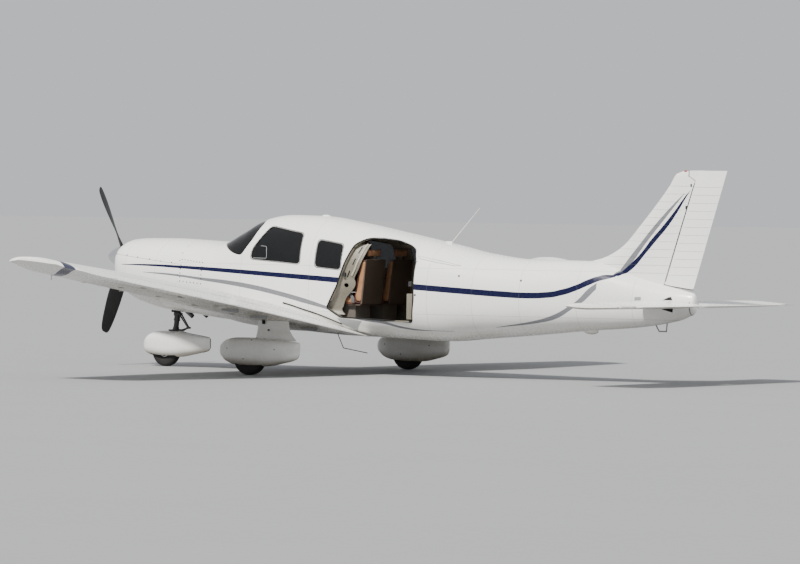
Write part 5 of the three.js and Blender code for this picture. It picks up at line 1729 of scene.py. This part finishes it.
def buildCockpit():
    face, half = cockpit["face"], cockpit["halfWidth"]
    inside = solidSkin("cockpitSpace", 1.82, 2.6, 0.0454)
    panel = block("instrumentFace", (2.085, -half, 0.96), (face, half, 1.42), 0.006)
    shield = prism("shield", cockpit["shield"], -half, half, 0.008)
    cut(panel, inside, "INTERSECT", keep=True)
    cut(shield, inside, "INTERSECT")
    finishPiece(joinAll("instrumentFace", [panel, shield]), "panel", "panel_plastic", "instrument_panel")
    bezels, dials = [], []
    for row in cockpit["dials"]:
        parts, glass = buildDial(*row)
        bezels += parts
        dials.append(glass)
    for z, height in cockpit["radios"]:
        front = face + 0.012
        bezels.append(block("radio", (face, -0.1, z - height / 2), (front, 0.09, z + height / 2), 0.003))
        low, high = z - height * 0.32, z + height * 0.32
        dials.append(block("display", (front, -0.06, low), (face + 0.013, 0.05, high)))
        for y in (-0.082, 0.072):
            bezels.append(rod("knob", (front, y, z), (face + 0.026, y, z), 0.009, sides=20, bevel=0.002))
    for y in cockpit["levers"]:
        bezels.append(rod("lever", (face, y, 1.08), (face + 0.07, y, 1.09), 0.005, sides=12))
        knob = rod("leverKnob", (face + 0.06, y, 1.09), (face + 0.09, y, 1.093), 0.013, sides=20, bevel=0.004)
        bezels.append(knob)
    for k in range(cockpit["switches"]):
        y = -0.45 + k * 0.03
        bezels.append(block("switch", (face, y, 1.045), (face + 0.012, y + 0.012, 1.065), 0.002))
    finishPiece(joinAll("instrumentBezels", bezels), "steel", "panel_plastic")
    finishPiece(joinAll("instrumentDials", dials), "dial", "panel_plastic")
    z = cockpit["yokeZ"]
    for name, side in sides.items():
        y = side * cockpit["yokeY"]
        bow = [at(2.304, y - across, z + up) for across, up in reversed(cockpit["bow"])]
        bow += [at(2.304, y + across, z + up) for across, up in cockpit["bow"]]
        parts = [
            rod("yokeShaft", (face, y, z), (2.302, y, z), 0.013),
            block("yokeHub", (2.292, y - 0.04, z - 0.022), (2.316, y + 0.04, z + 0.022), 0.008),
            tubes("bow", [bow], 0.0125, smooth=True, sides=4),
        ]
        finishPiece(joinAll(f"yoke{name}", parts), "panel", "panel_plastic")


engine = {
    "barrels": (0.7, 0.88, 1.06), "z": 1.275, "fins": 6, "finStep": 0.017,
    # name, low corner, high corner, bevel
    "blocks": [
        ("crankcase", (0.56, -0.13, 1.14), (1.27, 0.13, 1.39), 0.03),
        ("sump", (0.65, -0.14, 1.055), (1.22, 0.14, 1.145), 0.03),
        ("accessories", (1.25, -0.11, 1.16), (1.298, 0.11, 1.36), 0.012),
    ],
    "mounts": (1.2, 1.34), "mountEnd": (1.4595, 0.26, 1.23),
}


def buildEngine():
    z = engine["z"]
    endX, endY, endZ = engine["mountEnd"]
    parts = [block(*row) for row in engine["blocks"]]
    parts.append(rod("gearCase", (0.552, 0, 1.29), (0.6, 0, 1.29), 0.11, bevel=0.01))
    for side in (-1, 1):
        for x in engine["barrels"]:
            parts.append(rod("barrel", (x, side * 0.12, z), (x, side * 0.25, z), 0.058))
            near, far = sorted((side * 0.235, side * 0.288))
            parts.append(block("head", (x - 0.07, near, 1.2), (x + 0.07, far, 1.35), 0.014))
            for k in range(engine["fins"]):
                y = side * (0.135 + k * engine["finStep"])
                parts.append(rod("fin", (x, y, z), (x, y + side * 0.003, z), 0.072, sides=40))
            path = [(x, 0.26, 1.2), (x + 0.01, 0.26, 1.15), (x + 0.05, 0.235, 1.135), (1.2, 0.235, 1.13)]
            path = [at(station, side * across, height) for station, across, height in path]
            parts.append(tubes("pipe", [path], 0.02, smooth=True, sides=4))
        for height in engine["mounts"]:
            parts.append(rod("mount", (1.285, side * 0.1, height), (endX, side * endY, endZ), 0.013))
    finishPiece(joinAll("engine", parts), "cast", "engine", "engine_block")


print("cabin")
buildSeats()
buildDoorFrame()
buildCockpit()
buildEngine()


# A thin closed patch that follows the skin, from four corners given as stations and heights.
def skinPatch(name, quad, side, lift=0.0012, depth=0.003, steps=8):
    corners = [Vector(point) for point in quad]
    rings = []
    for k in range(steps + 1):
        start = corners[0].lerp(corners[3], k / steps)
        end = corners[1].lerp(corners[2], k / steps)
        row = [start.lerp(end, j / steps) for j in range(steps + 1)]
        over = [onSkin(p.x, p.y, side, lift) for p in row]
        rings.append(over + [onSkin(p.x, p.y, side, -depth) for p in reversed(row)])
    return loft(name, rings)


fittings = {
    # where the stabilator's slot opens above and below it, drawn as black patches that are painted shade for
    # the opening
    "slots": [
        [(7.722, 0.944), (7.838, 0.944), (7.818, 0.984), (7.785, 0.976)],
        [(7.71, 0.842), (7.838, 0.808), (7.846, 0.85), (7.76, 0.85)],
    ],
    "plate": [(7.39, 0.935), (7.465, 0.937), (7.465, 0.974), (7.39, 0.972)],
    # the grey patch on the left side where the wing root's trailing edge meets the fuselage, below the rear
    # doorway
    "step": [(3.7, 0.649), (4.027, 0.623), (3.905, 0.505), (3.745, 0.585)],
    "plugs": [(5.28, 1.164), (6.029, 1.127), (4.752, 0.937)],
    "rootSeal": [
        (2.97, 0.808), (3.08, 0.785), (3.19, 0.753), (3.33, 0.718), (3.47, 0.68), (3.61, 0.632),
        (3.745, 0.58),
    ],
    "aftLine": [(4.715, 1.382), (5.0, 1.331), (5.27, 1.279), (5.19, 1.277), (4.97, 1.311), (4.75, 1.35)],
    "doorLip": [
        (3.905, 1.53), (3.931, 1.55), (4.01, 1.582), (4.18, 1.582), (4.37, 1.56), (4.56, 1.506),
        (4.655, 1.458), (4.7, 1.4), (4.728, 1.315),
    ],
    "stormPane": [
        (2.6, 1.462), (2.672, 1.458), (2.684, 1.445), (2.708, 1.33), (2.7, 1.318), (2.525, 1.32),
    ],
    # radius, height below or above the roof's top
    "dome": [
        (0.001, 0.0155), (0.03, 0.0135), (0.05, 0.0035), (0.06, -0.0145), (0.06, -0.0345), (0.001, -0.0345),
    ],
    "bump": [
        (0.001, -0.1), (0.018, -0.088), (0.032, -0.055), (0.038, 0.0), (0.034, 0.045), (0.02, 0.078),
        (0.001, 0.09),
    ],
    # across, height
    "guard": [
        (-0.05, 0.835), (-0.05, 0.8), (-0.035, 0.782), (0.035, 0.782), (0.05, 0.8), (0.05, 0.835),
    ],
    "exhaustY": 0.15,
}


def buildBodyFittings():
    # Black patches on the tail cone where the stabilator's slot opens are painted shade for the opening.
    slots = [skinPatch("slot", quad, side) for side in (-1, 1) for quad in fittings["slots"]]
    plates = [skinPatch("plate", fittings["plate"], side, 0.002) for side in (-1, 1)]
    finishPiece(joinAll("coneSlotShade", slots), "rubber", "black_plastic")
    finishPiece(joinAll("conePlates", plates), "plate", "white_skin")
    # A grey patch on the left side of the fuselage at the wing root's trailing edge, below the rear doorway.
    finishPiece(skinPatch("rootGreyPatch", fittings["step"], -1), "plate", "white_skin")
    plugs = [skinSpot(x, z, -1) for x, z in fittings["plugs"]]
    finishPiece(heads("sidePlugs", plugs, 0.014, 0.003, 20), "gear", "black_plastic")

    def skinLine(key, side, lift):
        return [onSkin(x, z, side, lift) for x, z in fittings[key]]

    rootPaths = [skinLine("rootSeal", side, 0.001) for side in (-1, 1)]
    finishPiece(tubes("rootSeals", rootPaths, 0.0085, smooth=True, sides=4), "rubber", "black_plastic")
    edge = tubes("aftPanelEdge", [skinLine("aftLine", -1, 0.0005)], 0.003, closed=True)
    finishPiece(edge, "plate", "white_skin")
    lip = tubes("doorwayLip", [skinLine("doorLip", -1, 0.002)], 0.0095, smooth=True, sides=5)
    finishPiece(lip, "plain", "white_skin")
    finishPiece(tubes("stormPane", [skinLine("stormPane", -1, -0.005)], 0.0032), "plate", "white_skin")
    finishPiece(turned("roofDome", fittings["dome"], (3.125, 0, 1.817), "Z", 40), "plain", "white_paint")
    finishPiece(turned("bellyBump", fittings["bump"], (6.735, 0, 0.572), "X", 32), "plain", "white_paint")
    endGap = [point for point in skinRing(8.028, -0.0005) if point.z < 0.93]
    endGap.sort(key=lambda point: math.atan2(point.y, 1.2 - point.z))
    finishPiece(tubes("coneGap", [endGap], 0.0035), "rubber", "black_plastic")
    pipes = []
    for y in (-fittings["exhaustY"], fittings["exhaustY"]):
        pipe = rod("pipe", (1.17, y, 0.735), (1.35, y, 0.605), 0.027)
        pipes.append(cut(pipe, rod("bore", (1.19, y, 0.7206), (1.37, y, 0.5906), 0.0245)))
    finishPiece(joinAll("exhaustPipes", pipes), "cast", "engine")
    hoop = [at(0.5, y, z) for y, z in fittings["guard"]]
    finishPiece(tubes("inletGuard", [hoop], 0.007, smooth=True, sides=4), "gear", "gear_metal")


tailFittings = {
    "sealX": -0.01, "foot": [(7.725, 1.108), (7.768, 1.0975), (8.03, 1.0632)],
    # station, half width, height
    "brackets": [(7.945, 0.0335, 1.98), (8.000, 0.0245, 2.225)],
    "beacon": [
        (0.001, 0.0075), (0.012, 0.007), (0.026, 0.005), (0.034, 0.001), (0.034, -0.01), (0.001, -0.01),
    ],
    "beaconAt": (7.925, 0, 2.384), "wicks": (1.7, 1.86), "sealLow": 1.15, "sealHigh": 2.25,
}


def buildTailFittings():
    seals, back = [], tailFittings["sealX"]
    low, high = tailFittings["sealLow"], tailFittings["sealHigh"]
    for side in (-1, 1):
        path = []
        for k in range(13):
            z = low + (high - low) * k / 12
            radius = finAt(z)[1] * tail["noseShare"]
            path.append(at(hingeX(z) + back, side * (math.sqrt(radius ** 2 - back ** 2) + 0.0005), z))
        seals.append(path)
    finishPiece(tubes("rudderSeal", seals, 0.0042), "rubber", "black_plastic", body="rudder")
    foot = [[at(x, side * 0.01, z) for x, z in tailFittings["foot"]] for side in (-1, 1)]
    finishPiece(tubes("rudderFootSeal", foot, 0.0045), "rubber", "black_plastic", body="rudder")
    brackets = [
        block("bracket", (x - 0.012, -half, z - 0.018), (x + 0.01, half, z + 0.018), 0.004)
        for x, half, z in tailFittings["brackets"]
    ]
    finishPiece(joinAll("hingeBrackets", brackets), "gear", "gear_metal")
    spot = tailFittings["beaconAt"]
    beacon = turned("beacon", tailFittings["beacon"], spot, "Z", 32)
    editAll(beacon)
    bpy.ops.transform.resize(value=(1, 0.5, 1), center_override=at(*spot), orient_type="GLOBAL")
    endEdit()
    finishPiece(beacon, "red", "window_plastic")
    wick = [
        rod("wick", (8.04, 0, 1.072), (8.115, 0, 1.04), 0.003, sides=12),
        rod("wickFoot", (8.02, 0, 1.082), (8.046, 0, 1.0695), 0.005, sides=12),
    ]
    finishPiece(joinAll("rudderWick", wick), "plate", "white_paint", body="rudder")
    wicks = [
        rod("wick", (8.22, side * y, 0.89), (8.3, side * y, 0.889), 0.0022, sides=10)
        for side in (-1, 1) for y in tailFittings["wicks"]
    ]
    finishPiece(joinAll("tailplaneWicks", wicks), "plate", "white_paint", body="stabilator")


wingFittings = {
    "lens": {"Left": "red", "Right": "green"}, "lampAt": (2.655, 5.22, 1.252),
    "lamp": [(0.001, -0.07), (0.01, -0.066), (0.019, -0.045), (0.023, -0.01), (0.021, 0.03), (0.001, 0.05)],
    "caps": (2.86, (2.1, 3.9)), "plates": ((2.75, 3.25, 3.55), (1.3, 2.05, 2.8, 3.5, 4.2)),
    "vent": (2.822, 4.918), "brackets": (0.95, 1.98, 2.55), "bracketHalf": 0.011,
    "aileronWicks": (3.1, 3.7, 4.3), "tipWick": (5.0,),
}


def buildWingFittings(name, side):
    def spot(x, y, part, lift):
        return at(*wingSpot(x, y, part, side)), Vector((0, 0, lift))

    x, ys = wingFittings["caps"]
    caps = [spot(x, y, "above", 1) for y in ys]
    finishPiece(heads(f"fuelCaps{name}", caps, 0.042, 0.004, 32), "steel", "polished")
    xs, ys = wingFittings["plates"]
    plates = [spot(x, y, "below", -1) for x in xs for y in ys]
    finishPiece(heads(f"accessPlates{name}", plates, 0.045, 0.0022, 28), "wing", "white_paint")
    x, y, z = wingFittings["lampAt"]
    lamp = turned(f"tipLamp{name}", wingFittings["lamp"], (x, side * y, z), "X", 28)
    finishPiece(lamp, wingFittings["lens"][name], "window_plastic")
    x, y, z = wingSpot(*wingFittings["vent"], "below", side)
    vent = rod(f"fuelVent{name}", (x, y, z + 0.01), (x, y, z - 0.05), 0.006, sides=16)
    finishPiece(vent, "plain", "white_paint")
    # The flap brackets take the mid grey plate finish, which is painted shade for the wing's shade that they
    # sit in.
    brackets, half = [], wingFittings["bracketHalf"]
    for y in wingFittings["brackets"]:
        foot, nose = wingSpot(3.66, y, "below", side), wingSpot(3.42, y, "below", side)
        outline = [
            (nose[0], nose[2] + 0.01), (nose[0] + 0.02, nose[2] - 0.012), (foot[0] - 0.03, foot[2] - 0.035),
            (foot[0], foot[2] - 0.03), (foot[0], foot[2] + 0.01)]
        brackets.append(prism("bracket", outline, side * y - half, side * y + half, 0.004))
    finishPiece(joinAll(f"flapBrackets{name}", brackets), "plate", "gear_metal")
    for label, body in (("aileronWicks", f"aileron_{name.lower()}"), ("tipWick", "airframe")):
        ends = [wingPoint(y, 1.0, "middle", side) for y in wingFittings[label]]
        wicks = [
            rod("wick", (x - 0.004, y, z), (x + 0.09, y, z - 0.004), 0.0022, sides=10) for x, y, z in ends]
        finishPiece(joinAll(f"{label}{name}", wicks), "plate", "white_paint", body=body)


gearFittings = {
    # station, height
    "screws": [(3.214, 0.187), (2.98, 0.3), (3.6, 0.3), (3.3, 0.4)], "openingY": 1.5955,
}


# Where a main pant's side is, at a station and a height.
def pantSide(x, z, side, face):
    top, bottom, half, shift = smoothTable(gear["mainPant"])(x)
    middle, reach = (top + bottom) / 2, (top - bottom) / 2
    share = min(abs(z - middle) / reach, 0.99)
    across = half * (1 - share ** gear["pantPower"]) ** (1 / gear["pantPower"])
    return at(x, side * (gear["pantY"] + shift) + face * across, z)


def buildGearFittings():
    for name, side in sides.items():
        y = side * gearFittings["openingY"]
        # A black block in the leg fairing's opening is painted shade for the hole, with a black bolt head
        # below it.
        opening = [
            block("opening", (3.333, y - 0.006, 0.582), (3.372, y + 0.006, 0.628), 0.003),
            rod("bolt", (3.42, side * 1.585, 0.515), (3.42, side * 1.602, 0.515), 0.009, sides=16),
        ]
        finishPiece(joinAll(f"legOpening{name}", opening), "rubber", "black_plastic")
        places = [
            (pantSide(x, z, side, face), Vector((0, face, 0)))
            for face in (-side, side) for x, z in gearFittings["screws"]]
        finishPiece(heads(f"pantScrews{name}", places, 0.008, 0.002, 12), "gear", "polished")
    x = steerX(0.66)
    collar = [rod("collar", (x, 0, 0.664), (steerX(0.7), 0, 0.704), 0.054, bevel=0.004)]
    for y in (-0.1, 0.1):
        collar.append(rod("knob", (x, y - 0.018, 0.662), (x, y + 0.018, 0.662), 0.015, bevel=0.003))
    finishPiece(joinAll("steeringCollar", collar), "gear", "gear_metal", body="nose_gear")
    rowAt = smoothTable(gear["nosePant"])

    def edgeOf(start, step, column, lift):
        return [at(start + step * k, 0, rowAt(start + step * k)[column] + lift) for k in range(9)]

    back = [at(1.5075, 0, rowAt(1.507)[0] - 0.002 - 0.0125 * k) for k in range(1, 10)]
    path = edgeOf(1.09, 0.0365, 0, 0.001) + edgeOf(1.4, 0.012, 0, 0.001) + back
    path += edgeOf(1.4, 0.012, 1, -0.001)[::-1]
    finishPiece(tubes("nosePantSeam", [path], 0.0035), "rubber", "black_plastic", body="nose_gear")


print("fittings")
buildBodyFittings()
buildTailFittings()
for name, side in sides.items():
    buildWingFittings(name, side)
buildGearFittings()


# Camera, light and floor
view = {
    "place": (30.975, -48.29, 1.912), "forward": (-0.54065, 0.84112, -0.01466),
    "roll": math.radians(0.9), "lens": 223.9, "sensor": 36.0,
    "floorRadius": 700, "floor": ((0.272, 0.277, 0.285, 1), (0.292, 0.297, 0.305, 1)),
    "sky": (0.82, 0.84, 0.875, 1), "skyStrength": 0.78,
    # name, direction from the aircraft, strength, angle in degrees, colour
    "suns": [
        ("keyLight", (0.05, -0.66, 0.8), 6.6, 6, (1.0, 0.97, 0.92)),
        ("fillLight", (0.9, -0.5, 0.7), 0.3, 60, (0.92, 0.96, 1.0)),
    ],
}


def buildStage():
    camera = bpy.data.objects.new("camera", bpy.data.cameras.new("camera"))
    bpy.context.collection.objects.link(camera)
    forward = Vector(view["forward"]).normalized()
    right = forward.cross(Vector((0, 0, 1))).normalized()
    up = right.cross(forward)
    c, s = math.cos(view["roll"]), math.sin(view["roll"])
    across, above = right * c + up * s, up * c - right * s
    turn = Matrix((across, above, -forward)).transposed().to_4x4()
    camera.matrix_world = Matrix.Translation(view["place"]) @ turn
    camera.data.lens = view["lens"]
    camera.data.sensor_width = view["sensor"]
    camera.data.clip_start, camera.data.clip_end = 1.0, 2000.0
    bpy.context.scene.camera = camera

    deselectAll()
    bpy.ops.mesh.primitive_circle_add(vertices=96, radius=view["floorRadius"], fill_type="NGON")
    floor = bpy.context.object
    floor.name = "floor"
    material, tree, shader = newMaterial("studioFloor")
    place = coordinates(tree)[0]
    shade = mixed(tree, noise(tree, place, 0.6, 5), *view["floor"])
    linkFinish(tree, shader, shade, noise(tree, place, 9, 4), 0.7, 0.85)
    floor.data.materials.append(material)

    world = bpy.data.worlds.new("studio")
    bpy.context.scene.world = world
    world.use_nodes = True
    sky = world.node_tree.nodes["Background"]
    sky.inputs[0].default_value, sky.inputs[1].default_value = view["sky"], view["skyStrength"]
    for name, direction, strength, angle, colour in view["suns"]:
        lamp = bpy.data.lights.new(name, "SUN")
        lamp.energy, lamp.angle, lamp.color = strength, math.radians(angle), colour
        made = bpy.data.objects.new(name, lamp)
        made.rotation_euler = Vector(direction).to_track_quat("Z", "Y").to_euler()
        bpy.context.collection.objects.link(made)


print("stage")
buildStage()

# Solids whose own shape is right take a better material.
dressed = {
    "cabin_floor": "carpet", "tail_tie_down": "plate", "antenna_whip": "plain", "antenna_belly": "panel",
}
for name, key in dressed.items():
    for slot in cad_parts[name].material_slots:
        slot.material = look[key]

print("finish")
